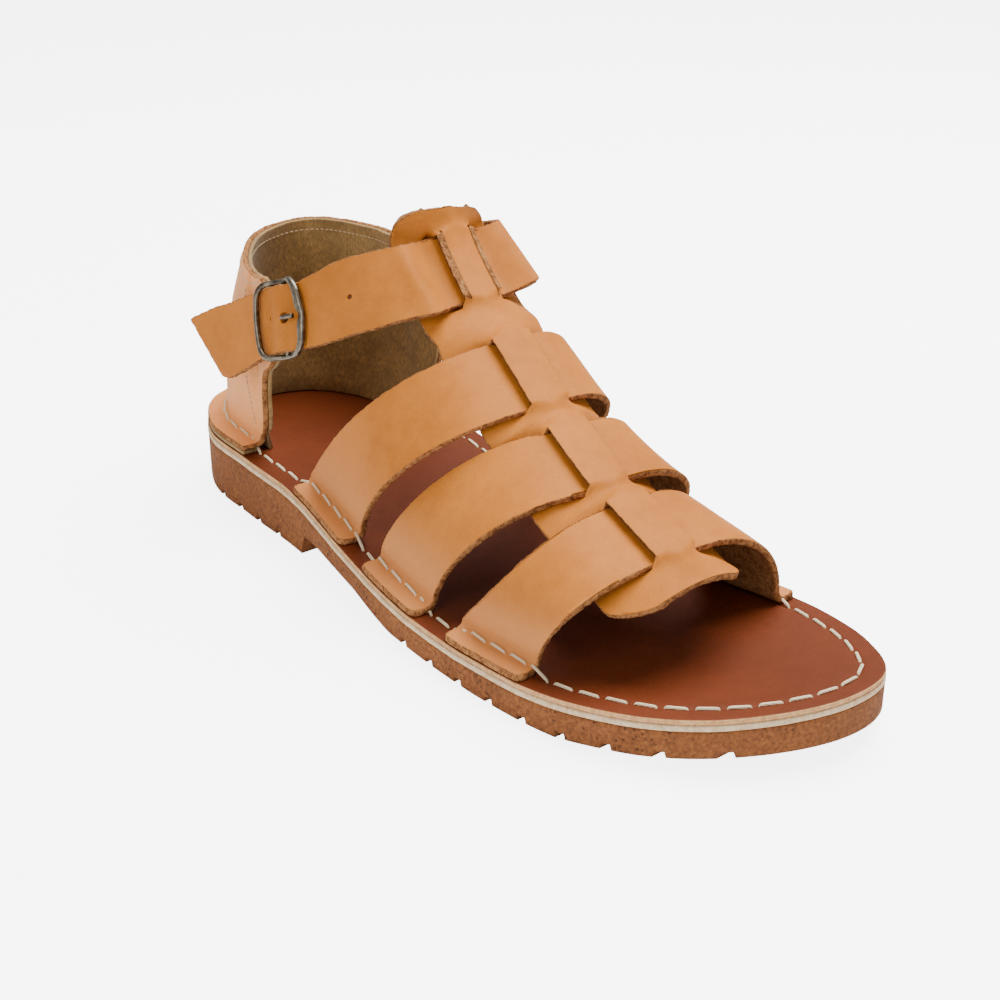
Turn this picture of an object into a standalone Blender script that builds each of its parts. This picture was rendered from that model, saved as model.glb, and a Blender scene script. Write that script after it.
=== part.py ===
# Gladiator sandal, right foot: a flat leather sandal on a lugged rubber sole. A woven spine
# of leather runs down the instep, three foot straps and an ankle strap pass under its bands,
# and a heel quarter rises behind. Every strap turns out at its root and is stitched down
# through the footbed.
#
# Frame: metres, +Z up, the toe points to -Y, the inner (medial) side of the foot is +X and
# the outer (lateral) side, with the buckle, is -X. The origin is under the middle of the
# sole, on the floor.
import math

import bpy
import numpy as np

MM = 0.001

# Driving sizes
SOLE_LENGTH = 285 * MM
BALL_WIDTH = 97 * MM
HEEL_WIDTH = 0.711 * BALL_WIDTH  # of the foot's heel, inside the quarter
HEEL_LIFT = 18.0 * MM          # rubber under the heel, up to the leather
BALL_RUBBER = 7.8 * MM         # rubber under the ball
TOE_RISE = 8.0 * MM            # how far the toe's leather climbs above the ball's
TOE_SPRING = 7.0 * MM          # gap under the very tip of the toe
WAIST_ARCH = 8.0 * MM          # gap under the waist, in front of the heel's breast
MIDSOLE_WALL = 1.6 * MM
FOOTBED_WALL = 1.6 * MM
UPPER_HEIGHT = 114 * MM        # top of the tab at the ankle, above the floor
COLLAR_HEIGHT = 87 * MM
SPINE_WIDTH = 45 * MM
BAND_WIDTH = 15.4 * MM         # between the two slits of a crossing
LEATHER = 2.2 * MM             # wall of spine and straps
QUARTER_LEATHER = 3.4 * MM     # outer leather and suede lining together
ANKLE_STRAP_WIDTH = 24 * MM
PINCHED_WIDTH = 20.8 * MM      # of the strap inside the buckle
GAP = 0.3 * MM                 # between pieces that touch

# Tread
LUG_GROOVE = 2.6 * MM
LUG_DEPTH = 1.8 * MM
LUG_PITCH = 13.2 * MM
LUG_SLOPE = 0.4 * MM
TREAD_BEVEL = 0.5 * MM
HEEL_TREAD = (0.126, 0.300)    # first and last groove, shares of SOLE_LENGTH
FOREFOOT_TREAD = (0.575, 0.950)

# Where a strap turns out onto the footbed
FLANGE_EDGE = 0.6 * MM         # from the sole's edge to the flange's edge
CREASE_INSET = 7.6 * MM        # from the sole's edge to the standing wall
ROOT_FILLET = 2.4 * MM

# Buckle
WIRE = 2.2 * MM
BAR = 2.0 * MM
PRONG = 2.2 * MM
BUCKLE_LENGTH = 19 * MM
BAR_BOW = 1.0 * MM             # how far both end bars bow outwards
BUCKLE_PLAY = 0.4 * MM         # between the strap's edge and the frame's side
BUCKLE_CORNER = 4.0 * MM
STRAP_LIFT = 2.0 * MM          # how far the strap rises over the centre bar
PRONG_HOLE = 3.4 * MM
PRONG_REACH = 3.0 * MM         # from the centre bar to the hole
SPARE_HOLE = 1.6 * MM
SPARE_HOLE_PITCH = 19 * MM
TAB_PLAY = 0.7 * MM

# Outline of the sole from the back of the heel round the medial side, the toe and the
# lateral side: along as a share of SOLE_LENGTH, across of BALL_WIDTH
OUTLINE = (
    (0.000, 0.010), (0.026, 0.250), (0.098, 0.395), (0.210, 0.443), (0.352, 0.430),
    (0.493, 0.392), (0.617, 0.425), (0.725, 0.483), (0.830, 0.498), (0.928, 0.420),
    (0.990, 0.275), (1.000, 0.100), (0.976, -0.100), (0.912, -0.315), (0.808, -0.457),
    (0.678, -0.500), (0.556, -0.495), (0.433, -0.446), (0.312, -0.385), (0.193, -0.364),
    (0.097, -0.333), (0.025, -0.202),
)

# Top of the rubber: along, share of the heel's extra lift, share of TOE_RISE
SHELF = (
    (0.00, 1.00, 0.00), (0.16, 1.00, 0.00), (0.28, 0.94, 0.00), (0.34, 0.80, 0.00),
    (0.40, 0.62, 0.00), (0.45, 0.46, 0.00), (0.50, 0.31, 0.00), (0.58, 0.10, 0.00),
    (0.67, 0.00, 0.00), (0.755, 0.00, 0.03), (0.815, 0.00, 0.17), (0.88, 0.00, 0.38),
    (0.94, 0.00, 0.64), (1.00, 0.00, 1.00),
)

# Underside of the rubber: along, share of WAIST_ARCH, share of TOE_SPRING
UNDERSIDE = (
    (0.000, 0.00, 0.00), (0.322, 0.00, 0.00), (0.334, 0.98, 0.00), (0.375, 1.00, 0.00),
    (0.418, 0.90, 0.00), (0.467, 0.74, 0.00), (0.512, 0.41, 0.00), (0.545, 0.20, 0.00),
    (0.600, 0.14, 0.00), (0.660, 0.05, 0.00), (0.690, 0.00, 0.00), (0.800, 0.00, 0.00),
    (0.842, 0.00, 0.19), (0.880, 0.00, 0.34), (0.928, 0.00, 0.60), (0.954, 0.00, 0.74),
    (1.000, 0.00, 1.00),
)

# Spine, from the ankle tab to its front end. Rows 1 to 8 are the back and front of the four
# crossings: along, height as a share of UPPER_HEIGHT, centre across as a share of BALL_WIDTH,
# half width as a share of SPINE_WIDTH
SPINE = (
    (0.398, 1.000, 0.103, 0.40),
    (0.4035, 0.930, 0.106, 0.42),
    (0.459, 0.789, 0.093, 0.43),
    (0.512, 0.712, 0.076, 0.45),
    (0.588, 0.592, 0.050, 0.46),
    (0.617, 0.551, 0.042, 0.47),
    (0.694, 0.465, 0.014, 0.49),
    (0.721, 0.445, 0.006, 0.50),
    (0.810, 0.393, -0.040, 0.52),
    (0.847, 0.352, -0.035, 0.51),
)
SPINE_RADIUS = 35 * MM         # of its arch across the foot
SPINE_CORNER = 9 * MM          # rounding of its two ends
TAB_SLANT = 4.5 * MM           # by which the tab's inner corner is cut lower
BAND_RISE = 0.7                # of LEATHER, above the spine where a strap passes under
MARGIN_SINK = 1.25             # of LEATHER, below the spine where a strap passes over
STRAP_SINK = 0.4               # of LEATHER, the strap's face below the spine's at the slit
WEAVE_RAMP = 3.0 * MM

# Foot straps: the row of SPINE at the back of the crossing, then for each side its back and
# front edge: root along the sole, fullness of the arch (2 is a quarter circle), outward swell
# as a share of BALL_WIDTH, and trail (over 1 keeps level with the slit for longer)
FOOT_STRAPS = (
    ("strap_2", 3, (0.305, 2.2, 0.105, 1.00), (0.435, 2.0, 0.100, 0.85),
     (0.376, 2.4, 0.092, 1.20), (0.474, 2.3, 0.113, 1.20)),
    ("strap_3", 5, (0.484, 1.6, 0.040, 0.62), (0.593, 1.9, 0.030, 0.62),
     (0.498, 2.2, 0.099, 1.60), (0.642, 2.2, 0.095, 1.60)),
    ("strap_4", 7, (0.644, 2.1, 0.045, 1.60), (0.756, 2.1, 0.042, 1.00),
     (0.695, 2.2, 0.010, 1.60), (0.811, 2.2, 0.000, 1.00)),
)

# Ankle strap from the spine to its free end on the lateral side. Middle of the strap's face:
# along, across as a share of HEEL_WIDTH, height as a share of UPPER_HEIGHT; then the lean of
# its width: across, along, up
STRAP_LATERAL = (
    (0.435, -0.150, 0.853, -0.04, 0.70, 0.71),
    (0.413, -0.283, 0.833, 0.04, 0.70, 0.71),
    (0.376, -0.400, 0.789, 0.08, 0.60, 0.80),
    (0.323, -0.471, 0.720, 0.17, 0.40, 0.90),
    (0.291, -0.493, 0.690, 0.20, 0.38, 0.90),
    (0.260, -0.514, 0.659, 0.20, 0.38, 0.90),
    (0.210, -0.543, 0.590, 0.17, 0.42, 0.89),
    (0.151, -0.580, 0.521, 0.00, 0.78, 0.62),
)
BUCKLE_ROW = 4                 # row of STRAP_LATERAL at the buckle's centre bar
PINCH_ROWS = 2.5               # rows to either side over which the strap narrows

# Ankle strap on the medial side, up to the end of the quarter that covers it
STRAP_MEDIAL = (
    (0.428, 0.450, 0.864, -0.05, 0.78, 0.62),
    (0.369, 0.514, 0.812, 0.02, 0.72, 0.69),
    (0.323, 0.514, 0.763, 0.00, 0.62, 0.78),
    (0.284, 0.500, 0.713, 0.00, 0.60, 0.80),
)
STRAP_OVERLAP = 11 * MM        # of the strap's end inside the quarter

# Heel quarter behind the tab, round the heel. Its foot is a distance round the sole's edge
# from the back of the heel (share of SOLE_LENGTH, lateral is negative), or a point in the air
# where a front edge rises: along, across (share of HEEL_WIDTH), height (of COLLAR_HEIGHT).
# The collar above it: along, across (share of HEEL_WIDTH), height (share of COLLAR_HEIGHT)
QUARTER = (
    ((0.253, -0.484, 0.682), (0.226, -0.438, 0.995)),
    ((0.233, -0.468, 0.635), (0.208, -0.420, 0.985)),
    ((0.2225, -0.456, 0.540), (0.197, -0.405, 0.980)),
    ((0.218, -0.448, 0.420), (0.187, -0.390, 0.975)),
    (-0.256, (0.183, -0.390, 0.982)),
    (-0.236, (0.168, -0.367, 0.980)),
    (-0.206, (0.148, -0.330, 0.978)),
    (-0.175, (0.126, -0.280, 0.976)),
    (-0.143, (0.103, -0.222, 0.974)),
    (-0.110, (0.081, -0.158, 0.974)),
    (-0.077, (0.061, -0.090, 0.975)),
    (-0.044, (0.045, -0.020, 0.977)),
    (-0.014, (0.034, 0.060, 0.980)),
    (0.014, (0.029, 0.145, 0.984)),
    (0.046, (0.030, 0.230, 0.990)),
    (0.082, (0.040, 0.320, 0.996)),
    (0.118, (0.059, 0.395, 1.000)),
    (0.153, (0.087, 0.450, 1.002)),
    (0.186, (0.116, 0.485, 1.002)),
    (0.218, (0.146, 0.508, 1.002)),
    (0.248, (0.172, 0.512, 0.998)),
    (0.266, (0.187, 0.518, 0.994)),
    ((0.248, 0.505, 0.400), (0.197, 0.521, 0.990)),
    ((0.267, 0.504, 0.560), (0.208, 0.523, 0.987)),
    ((0.274, 0.506, 0.680), (0.216, 0.523, 0.984)),
    ((0.280, 0.510, 0.758), (0.222, 0.523, 0.982)),
)
QUARTER_BULGE = 3.0 * MM       # how far the wall swells between foot and collar
QUARTER_ROWS = 7
HEEL_MIDDLE = (1 * MM, 85 * MM)  # the wall swells away from this place
TAB_MARGIN = 1.2 * MM          # by which the tab is narrower than the strap over it
TAB_ROWS = (2.45, 2.62, 2.95, 3.4, 3.8, 4.2, 4.6, 4.9)
TAB_SHARES = (0.45, 0.78, 1.0, 1.0, 1.0, 1.0, 1.0, 1.0)


def place(across, along, up):
    """A point given from the heel's back, in the sandal's frame."""
    return np.array((across, SOLE_LENGTH / 2 - along, up))


def unit(vector):
    return vector / np.linalg.norm(vector)


def curve_points(points, steps, closed=False):
    """A smooth centripetal Catmull-Rom curve through the points."""
    points = [np.asarray(p, float) for p in points]
    count = len(points)
    if closed:
        ring = [points[-1]] + points + points[:2]
        spans = count
    else:
        first = 2 * points[0] - points[1]
        last = 2 * points[-1] - points[-2]
        ring = [first] + points + [last]
        spans = count - 1
    result = []
    for index in range(spans):
        a, b, c, d = ring[index:index + 4]
        t1 = math.sqrt(np.linalg.norm(b - a))
        t2 = t1 + math.sqrt(np.linalg.norm(c - b))
        t3 = t2 + math.sqrt(np.linalg.norm(d - c))
        for step in range(steps):
            t = t1 + (t2 - t1) * step / steps
            ab = (t1 - t) / t1 * a + t / t1 * b
            bc = (t2 - t) / (t2 - t1) * b + (t - t1) / (t2 - t1) * c
            cd = (t3 - t) / (t3 - t2) * c + (t - t2) / (t3 - t2) * d
            abc = (t2 - t) / t2 * ab + t / t2 * bc
            bcd = (t3 - t) / (t3 - t1) * bc + (t - t1) / (t3 - t1) * cd
            result.append((t2 - t) / (t2 - t1) * abc + (t - t1) / (t2 - t1) * bcd)
    if not closed:
        result.append(points[-1])
    return np.array(result)


def rows_at(table, position, steps=16):
    """The table's row at a whole or fractional row number, read from a smooth curve."""
    dense = curve_points(table, steps)
    marks = np.arange(len(dense)) / steps
    return np.array([np.interp(position, marks, dense[:, k]) for k in range(dense.shape[1])])


def sole_outline():
    """The outline as (along, across), exactly SOLE_LENGTH by BALL_WIDTH."""
    dense = curve_points([(a * SOLE_LENGTH, c * BALL_WIDTH) for a, c in OUTLINE], 16, True)
    low, high = dense.min(axis=0), dense.max(axis=0)
    size = np.array((SOLE_LENGTH, BALL_WIDTH))
    return (dense - low) / (high - low) * size - np.array((0, BALL_WIDTH / 2))


EDGE = sole_outline()
EDGE_OUT = np.roll(EDGE, -1, axis=0) - np.roll(EDGE, 1, axis=0)
EDGE_OUT = np.stack((-EDGE_OUT[:, 1], EDGE_OUT[:, 0]), axis=1)
EDGE_OUT /= np.linalg.norm(EDGE_OUT, axis=1)[:, None]
HEEL_INDEX = int(EDGE[:, 0].argmin())
TOE_INDEX = int(EDGE[:, 0].argmax())


def side_slice(side, inset=0.0):
    """One side of the outline from heel to toe, moved in by the inset."""
    moved = EDGE - EDGE_OUT * inset
    count = len(moved)
    if side > 0:
        picks = [(HEEL_INDEX + k) % count for k in range((TOE_INDEX - HEEL_INDEX) % count + 1)]
    else:
        picks = [(HEEL_INDEX - k) % count for k in range((HEEL_INDEX - TOE_INDEX) % count + 1)]
    return moved[picks], EDGE_OUT[picks], EDGE[picks]


def edge_place(distance):
    """Side and place along of a point at a distance round the edge from the heel's back."""
    side = -1 if distance < 0 else 1
    points = side_slice(side)[2]
    steps = np.linalg.norm(np.diff(points, axis=0), axis=1)
    return side, np.interp(abs(distance), np.r_[0, np.cumsum(steps)], points[:, 0])


def rim(side, along, inset):
    """A point of the sole's edge, moved in, and the direction out: both (along, across)."""
    moved, out, original = side_slice(side, inset)
    point = np.array([np.interp(along, original[:, 0], moved[:, k]) for k in range(2)])
    direction = np.array([np.interp(along, original[:, 0], out[:, k]) for k in range(2)])
    return point, unit(direction)


def table_value(table, along, *sizes):
    """Sum of the table's shares times their sizes, at a place along the sole."""
    data = np.array(table)
    share = along / SOLE_LENGTH
    return sum(np.interp(share, data[:, 0], data[:, k + 1]) * s for k, s in enumerate(sizes))


def shelf(along):
    return BALL_RUBBER + table_value(SHELF, along, HEEL_LIFT - BALL_RUBBER, TOE_RISE)


def footbed_top(along):
    return shelf(along) + 2 * GAP + MIDSOLE_WALL + FOOTBED_WALL


def groove_centres():
    """Places of the tread's grooves, from the first to the last that fits."""
    centres = []
    for first, last in (HEEL_TREAD, FOREFOOT_TREAD):
        span = (last - first) * SOLE_LENGTH
        centres += [first * SOLE_LENGTH + k * LUG_PITCH for k in range(int(span / LUG_PITCH) + 1)]
    return centres


def underside(along):
    height = table_value(UNDERSIDE, along, WAIST_ARCH, TOE_SPRING)
    for centre in groove_centres():
        distance = abs(along - centre)
        depth = (LUG_GROOVE / 2 + LUG_SLOPE - distance) / LUG_SLOPE
        height += LUG_DEPTH * min(max(depth, 0), 1)
    return height


def make_object(name, points, faces, colour, roughness=0.6, metallic=0.0):
    mesh = bpy.data.meshes.new(name)
    mesh.from_pydata([tuple(p) for p in points], [], faces)
    mesh.update()
    item = bpy.data.objects.new(name, mesh)
    bpy.context.scene.collection.objects.link(item)
    material = bpy.data.materials.new(name)
    material.use_nodes = True
    shader = material.node_tree.nodes["Principled BSDF"]
    shader.inputs["Base Color"].default_value = (*colour, 1)
    shader.inputs["Roughness"].default_value = roughness
    shader.inputs["Metallic"].default_value = metallic
    mesh.materials.append(material)
    mesh.shade_smooth()
    mesh.set_sharp_from_angle(angle=math.radians(40))
    return item


def loft(name, rings, colour, **finish):
    """A closed body through rings of equal count, with flat ends."""
    size = len(rings[0])
    points = [p for ring in rings for p in ring]
    faces = [tuple(range(size))[::-1]]
    for r in range(len(rings) - 1):
        for k in range(size):
            low, high = r * size, (r + 1) * size
            faces.append((low + k, low + (k + 1) % size, high + (k + 1) % size, high + k))
    last = (len(rings) - 1) * size
    faces.append(tuple(last + k for k in range(size)))
    return make_object(name, points, faces, colour, **finish)


def shell(name, outer, inner, colour, missing=(), **finish):
    """A closed sheet between two grids of points; cells named in missing are left open."""
    rows, columns = len(outer), len(outer[0])
    points = [p for row in outer for p in row] + [p for row in inner for p in row]
    shift = rows * columns
    cells = {(r, c) for r in range(rows - 1) for c in range(columns - 1)} - set(missing)
    faces = []
    for r, c in sorted(cells):
        a, b = r * columns + c, r * columns + c + 1
        d, e = a + columns, b + columns
        faces.append((a, b, e, d))
        faces.append((a + shift, d + shift, e + shift, b + shift))
        rims = (((r - 1, c), b, a), ((r, c + 1), e, b), ((r + 1, c), d, e), ((r, c - 1), a, d))
        for neighbour, start, end in rims:
            if neighbour not in cells:
                faces.append((start, end, end + shift, start + shift))
    used = sorted({k for face in faces for k in face})
    order = {old: new for new, old in enumerate(used)}
    faces = [tuple(order[k] for k in face) for face in faces]
    return make_object(name, [points[k] for k in used], faces, colour, **finish)


def grid_normals(grid):
    """Unit normals of a grid of points, to the left of its rows seen along its columns."""
    grid = np.asarray(grid)
    down = np.gradient(grid, axis=0)
    across = np.gradient(grid, axis=1)
    normal = np.cross(across, down)
    return normal / np.linalg.norm(normal, axis=2)[:, :, None]


def sole_stations(inset, extra=()):
    """Places along the sole, close together at both rounded ends."""
    low, high = inset + 0.02 * MM, SOLE_LENGTH - inset - 0.02 * MM
    count = 36
    base = [low + (high - low) * (1 - math.cos(math.pi * k / count)) / 2 for k in range(count + 1)]
    base = [s for s in base if all(abs(s - e) > 0.5 * MM for e in extra)]
    return sorted(base + list(extra))


def sole_layer(name, stations, inset, bottom, top, bevel, colour, **finish):
    """A slab of the sole's outline between two heights, bevelled along its lower edge."""
    lateral, medial = side_slice(-1, inset)[0], side_slice(1, inset)[0]
    rings = []
    for s in stations:
        left = np.interp(s, lateral[:, 0], lateral[:, 1])
        right = np.interp(s, medial[:, 0], medial[:, 1])
        cut = min(bevel, (right - left) / 4)
        low, high = bottom(s), top(s)
        rings.append([
            place(left, s, high), place(left, s, low + cut), place(left + cut, s, low),
            place(right - cut, s, low), place(right, s, low + cut), place(right, s, high),
        ])
    return loft(name, rings, colour, **finish)


def make_sole():
    half = LUG_GROOVE / 2
    breaks = [row[0] * SOLE_LENGTH for row in UNDERSIDE[1:-1]]
    cuts = [c + d for c in groove_centres() for d in (-half - LUG_SLOPE, -half, half, half + LUG_SLOPE)]
    cuts += [b for b in breaks if all(abs(b - c) > 0.5 * MM for c in cuts)]
    sole_layer("outsole", sole_stations(0, cuts), 0, underside, shelf, TREAD_BEVEL,
               (0.30, 0.15, 0.07), roughness=0.8)
    midsole_top = lambda s: shelf(s) + GAP + MIDSOLE_WALL
    sole_layer("midsole", sole_stations(0), 0, lambda s: shelf(s) + GAP, midsole_top, 0.2 * MM,
               (0.86, 0.68, 0.45), roughness=0.7)
    sole_layer("footbed", sole_stations(0.2 * MM), 0.2 * MM, lambda s: midsole_top(s) + GAP,
               footbed_top, 0.2 * MM, (0.32, 0.08, 0.03), roughness=0.45)


def spine_frame(position):
    """Centre of the spine, its side direction, its face's normal and its half width."""
    def centre(row):
        along, height, across, half = rows_at(SPINE, row)
        return place(across * BALL_WIDTH, along * SOLE_LENGTH, height * UPPER_HEIGHT), half
    point, half = centre(position)
    back, _ = centre(max(position - 0.25, 0))
    front, _ = centre(min(position + 0.25, len(SPINE) - 1))
    forward = front - back
    side = np.array((1.0, 0, 0))
    normal = unit(np.array((0, forward[2], -forward[1])))
    return point, side, normal, half * SPINE_WIDTH


def spine_point(position, across, rise=0.0):
    """A point on the spine's arched face, raised by a length along the face's normal."""
    if across > 0 and position < 1:
        slant = TAB_SLANT / spine_row_length(0.5) * across / spine_frame(position)[3]
        position += slant * (1 - position)
    point, side, normal, _ = spine_frame(position)
    drop = SPINE_RADIUS - math.sqrt(SPINE_RADIUS ** 2 - across ** 2)
    return point + side * across - normal * drop + normal * rise


def spine_row_length(position):
    low = max(position - 0.1, 0)
    high = min(position + 0.1, len(SPINE) - 1)
    return np.linalg.norm(spine_frame(high)[0] - spine_frame(low)[0]) / (high - low)


def weave_weight(position):
    """1 inside a crossing, falling to 0 within WEAVE_RAMP outside it."""
    best = 0.0
    for row in range(1, 9, 2):
        outside = max(row - position, position - row - 1, 0)
        length = outside * spine_row_length(position)
        best = max(best, 1 - length / WEAVE_RAMP)
    return max(best, 0.0)


def spine_positions():
    """Row numbers of the spine's sections: close at the rounded ends and at the weave."""
    last = len(SPINE) - 1
    corner_steps = (0.0, 0.04, 0.15, 0.4, 1.0)
    head = [k * SPINE_CORNER / spine_row_length(0.3) for k in corner_steps]
    tail = [last - k * SPINE_CORNER / spine_row_length(last - 0.4) for k in corner_steps]
    middle = []
    for row in range(1, 9):
        ramp = WEAVE_RAMP / spine_row_length(row)
        middle += [row, row - ramp] if row % 2 else [row, row + ramp]
        if row % 2:
            middle += [row + 0.33, row + 0.67]
    middle = [m for m in middle if head[-1] + 0.05 < m < tail[-1] - 0.05]
    return sorted(head + tail + middle)


def spine_half(position):
    """Half width of the spine, rounded at both ends."""
    half = spine_frame(position)[3]
    last = len(SPINE) - 1
    end = min(position * spine_row_length(0.3), (last - position) * spine_row_length(last - 0.4))
    if end < SPINE_CORNER:
        half += math.sqrt(SPINE_CORNER ** 2 - (SPINE_CORNER - end) ** 2) - SPINE_CORNER
    return half


def make_spine():
    """The instep piece: bands raised and margins sunk where the straps pass."""
    band = BAND_WIDTH / 2
    step = 0.4 * MM
    outer, inner = [], []
    for position in spine_positions():
        half = spine_half(position)
        weight = weave_weight(position)
        raised, sunk = BAND_RISE * LEATHER * weight, -MARGIN_SINK * LEATHER * weight
        columns = [(-half, sunk), (-(half + band) / 2, sunk), (-band - step, sunk),
                   (-band + step, raised), (0, raised), (band - step, raised),
                   (band + step, sunk), ((half + band) / 2, sunk), (half, sunk)]
        if half < band + 3 * step:
            columns = [(half * k / 4, raised) for k in range(-4, 5)]
        outer.append([spine_point(position, a, h) for a, h in columns])
        inner.append([spine_point(position, a, h - LEATHER) for a, h in columns])
    return shell("upper", outer, inner, (0.72, 0.38, 0.17))


def arch(start, end, fullness, swell, trail, steps):
    """Points from a level start down to an upright end, on a swollen superellipse."""
    points = []
    outward = math.copysign(swell, end[0] - start[0])
    for k in range(1, steps + 1):
        angle = math.pi / 2 * k / steps
        reach = math.sin(angle) ** (2 / fullness)
        fall = 1 - math.cos(angle) ** (2 / fullness) if k < steps else 1.0
        points.append(np.array((
            start[0] + (end[0] - start[0]) * reach + outward * math.sin(2 * angle),
            start[1] + (end[1] - start[1]) * fall ** trail,
            start[2] + (end[2] - start[2]) * fall)))
    return points


def root_points(side, along):
    """From the standing wall's foot, round the fillet and out along the flange."""
    foot, out = rim(side, along, CREASE_INSET)

    def at(distance, height):
        spot = foot + out * distance
        return place(spot[1], spot[0], footbed_top(spot[0]) + 1.3 * GAP + LEATHER + height)

    fillet = [at(ROOT_FILLET * (1 - math.cos(a)), ROOT_FILLET * (1 - math.sin(a)))
              for a in (0, math.pi / 6, math.pi / 3, math.pi / 2)]
    width = CREASE_INSET - FLANGE_EDGE
    return fillet + [at((ROOT_FILLET + width) / 2, 0), at(width, 0)]


def thin_shell(name, grid, colour, wall):
    grid = np.asarray(grid)
    return shell(name, grid, grid - grid_normals(grid) * wall, colour)


def make_foot_strap(name, row, *edges):
    """A strap from one root up through the weave and down to the other root."""
    columns, steps, band = 6, 10, BAND_WIDTH / 2
    grid = []
    for k in range(columns + 1):
        share = k / columns
        sides = []
        for side, back, front in ((-1, edges[0], edges[1]), (1, edges[2], edges[3])):
            root, fullness, swell, trail = np.array(back) + (np.array(front) - back) * share
            slit = spine_point(row + share, side * band, -STRAP_SINK * LEATHER)
            root_curve = root_points(side, root * SOLE_LENGTH)
            curve = arch(slit, root_curve[0], fullness, swell * BALL_WIDTH, trail, steps)
            sides.append([slit] + curve + root_curve[1:])
        middle = spine_point(row + share, 0, -STRAP_SINK * LEATHER)
        grid.append(sides[0][::-1] + [middle] + sides[1])
    strap = thin_shell(name, np.swapaxes(np.array(grid), 0, 1), (0.72, 0.38, 0.17), LEATHER)
    hide(strap)
    return strap


def hide(item):
    item.hide_render = True
    item.display_type = "WIRE"


def strap_row(table, position):
    """Middle of the ankle strap's face and the direction of its width, up the leg."""
    along, across, up, lean_across, lean_along, lean_up = rows_at(table, position)
    middle = place(across * HEEL_WIDTH, along * SOLE_LENGTH, up * UPPER_HEIGHT)
    return middle, unit(np.array((lean_across, lean_along, lean_up)))


def lateral_frame(position):
    """Middle, direction towards the free end, width direction and normal of the strap."""
    middle, width = strap_row(STRAP_LATERAL, position)
    last = len(STRAP_LATERAL) - 1
    low, high = max(position - 0.1, 0), min(position + 0.1, last)
    run = unit(strap_row(STRAP_LATERAL, high)[0] - strap_row(STRAP_LATERAL, low)[0])
    normal = unit(np.cross(width, run))
    return middle, run, unit(np.cross(run, normal)), normal


def lateral_point(position, across, out):
    """A point at a distance across the strap and a distance out from its face."""
    middle, width = strap_row(STRAP_LATERAL, position)
    return middle + width * across + lateral_frame(position)[3] * out


def strap_half(position):
    """Half the strap's width; the buckle's frame pinches it."""
    share = min(max(PINCH_ROWS - abs(position - BUCKLE_ROW), 0) / (PINCH_ROWS - 1), 1)
    return (ANKLE_STRAP_WIDTH + (PINCHED_WIDTH - ANKLE_STRAP_WIDTH) * share) / 2


def strap_lift(position):
    """How far the strap stands out, over the buckle's centre bar."""
    distance = abs(position - BUCKLE_ROW)
    return STRAP_LIFT * math.cos(math.pi / 2 * distance) ** 2 if distance < 1 else 0.0


def quarter_place(shares):
    along, across, up = shares
    return place(across * HEEL_WIDTH, along * SOLE_LENGTH, up * COLLAR_HEIGHT)


def quarter_end():
    """Lower and upper corner of the quarter's medial end, on its outer face."""
    return tuple(quarter_place(point) for point in QUARTER[-1])


def make_ankle_strap():
    """The strap from the quarter's medial end, through the weave, to its free end."""
    columns, band = 5, BAND_WIDTH * 0.45
    half = ANKLE_STRAP_WIDTH / 2
    low, high = quarter_end()
    depth = QUARTER_LEATHER + 3 * GAP
    inward = np.array((-1.0, 0, 0))
    rearward = np.array((-0.03, 1.0, 0))
    rows = []
    last = len(STRAP_LATERAL) - 1
    positions = [last, last - 0.5, last - 1, last - 1.5, 5, 4.75, 4.5, 4.25, 4, 3.75, 3.5, 3.25, 3,
                 2.5, 2, 1.5, 1, 0.5, 0]
    for position in positions:
        lift = strap_lift(position)
        rows.append([lateral_point(position, strap_half(position) * (1 - 2 * k / columns), lift)
                     for k in range(columns + 1)])
    beyond = BAND_WIDTH * 0.7
    for across in (-beyond, -band, 0, band, beyond):
        rows.append([spine_point(1 + k / columns, across, -STRAP_SINK * LEATHER)
                     for k in range(columns + 1)])
    for position in (0, 0.5, 1, 1.5, 2, 2.5, 3):
        middle, width = strap_row(STRAP_MEDIAL, position)
        rows.append([middle + width * half * (1 - 2 * k / columns) for k in range(columns + 1)])
    for reach in (-2 * MM, STRAP_OVERLAP / 2, STRAP_OVERLAP):
        rows.append([high + (low - high) * (0.04 + 0.92 * k / columns) + inward * depth
                     + rearward * reach for k in range(columns + 1)])
    grid = np.swapaxes(np.array(rows), 0, 1)
    strap = thin_shell("ankle_strap", grid.swapaxes(0, 1), (0.72, 0.38, 0.17), LEATHER)
    hide(strap)
    return strap


def join(item, other, operation):
    modifier = item.modifiers.new(other.name, "BOOLEAN")
    modifier.operation = operation
    modifier.object = other
    modifier.solver = "EXACT"


def rod(name, start, end, radius, sides=12):
    """A straight round bar with flat ends."""
    axis = unit(end - start)
    first = unit(np.cross(axis, (0.1, 0.2, 1.0)))
    second = np.cross(axis, first)
    rings = []
    for point in (start, end):
        rings.append([point + radius * (first * math.cos(t) + second * math.sin(t))
                      for t in np.arange(sides) * 2 * math.pi / sides])
    return loft(name, rings, (0.5, 0.45, 0.38), metallic=1.0)


def make_upper():
    upper = make_spine()
    for row in FOOT_STRAPS:
        join(upper, make_foot_strap(*row), "UNION")
    join(upper, make_ankle_strap(), "UNION")
    holes = (("prong_hole", PRONG_REACH, PRONG_HOLE),
             ("spare_hole", PRONG_REACH + SPARE_HOLE_PITCH, SPARE_HOLE))
    for name, reach, width in holes:
        through = [buckle_point(-reach, 0, out) for out in (-2 * LEATHER, 2 * LEATHER)]
        cutter = rod(name, through[0], through[1], width / 2, 10)
        hide(cutter)
        join(upper, cutter, "DIFFERENCE")


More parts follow.
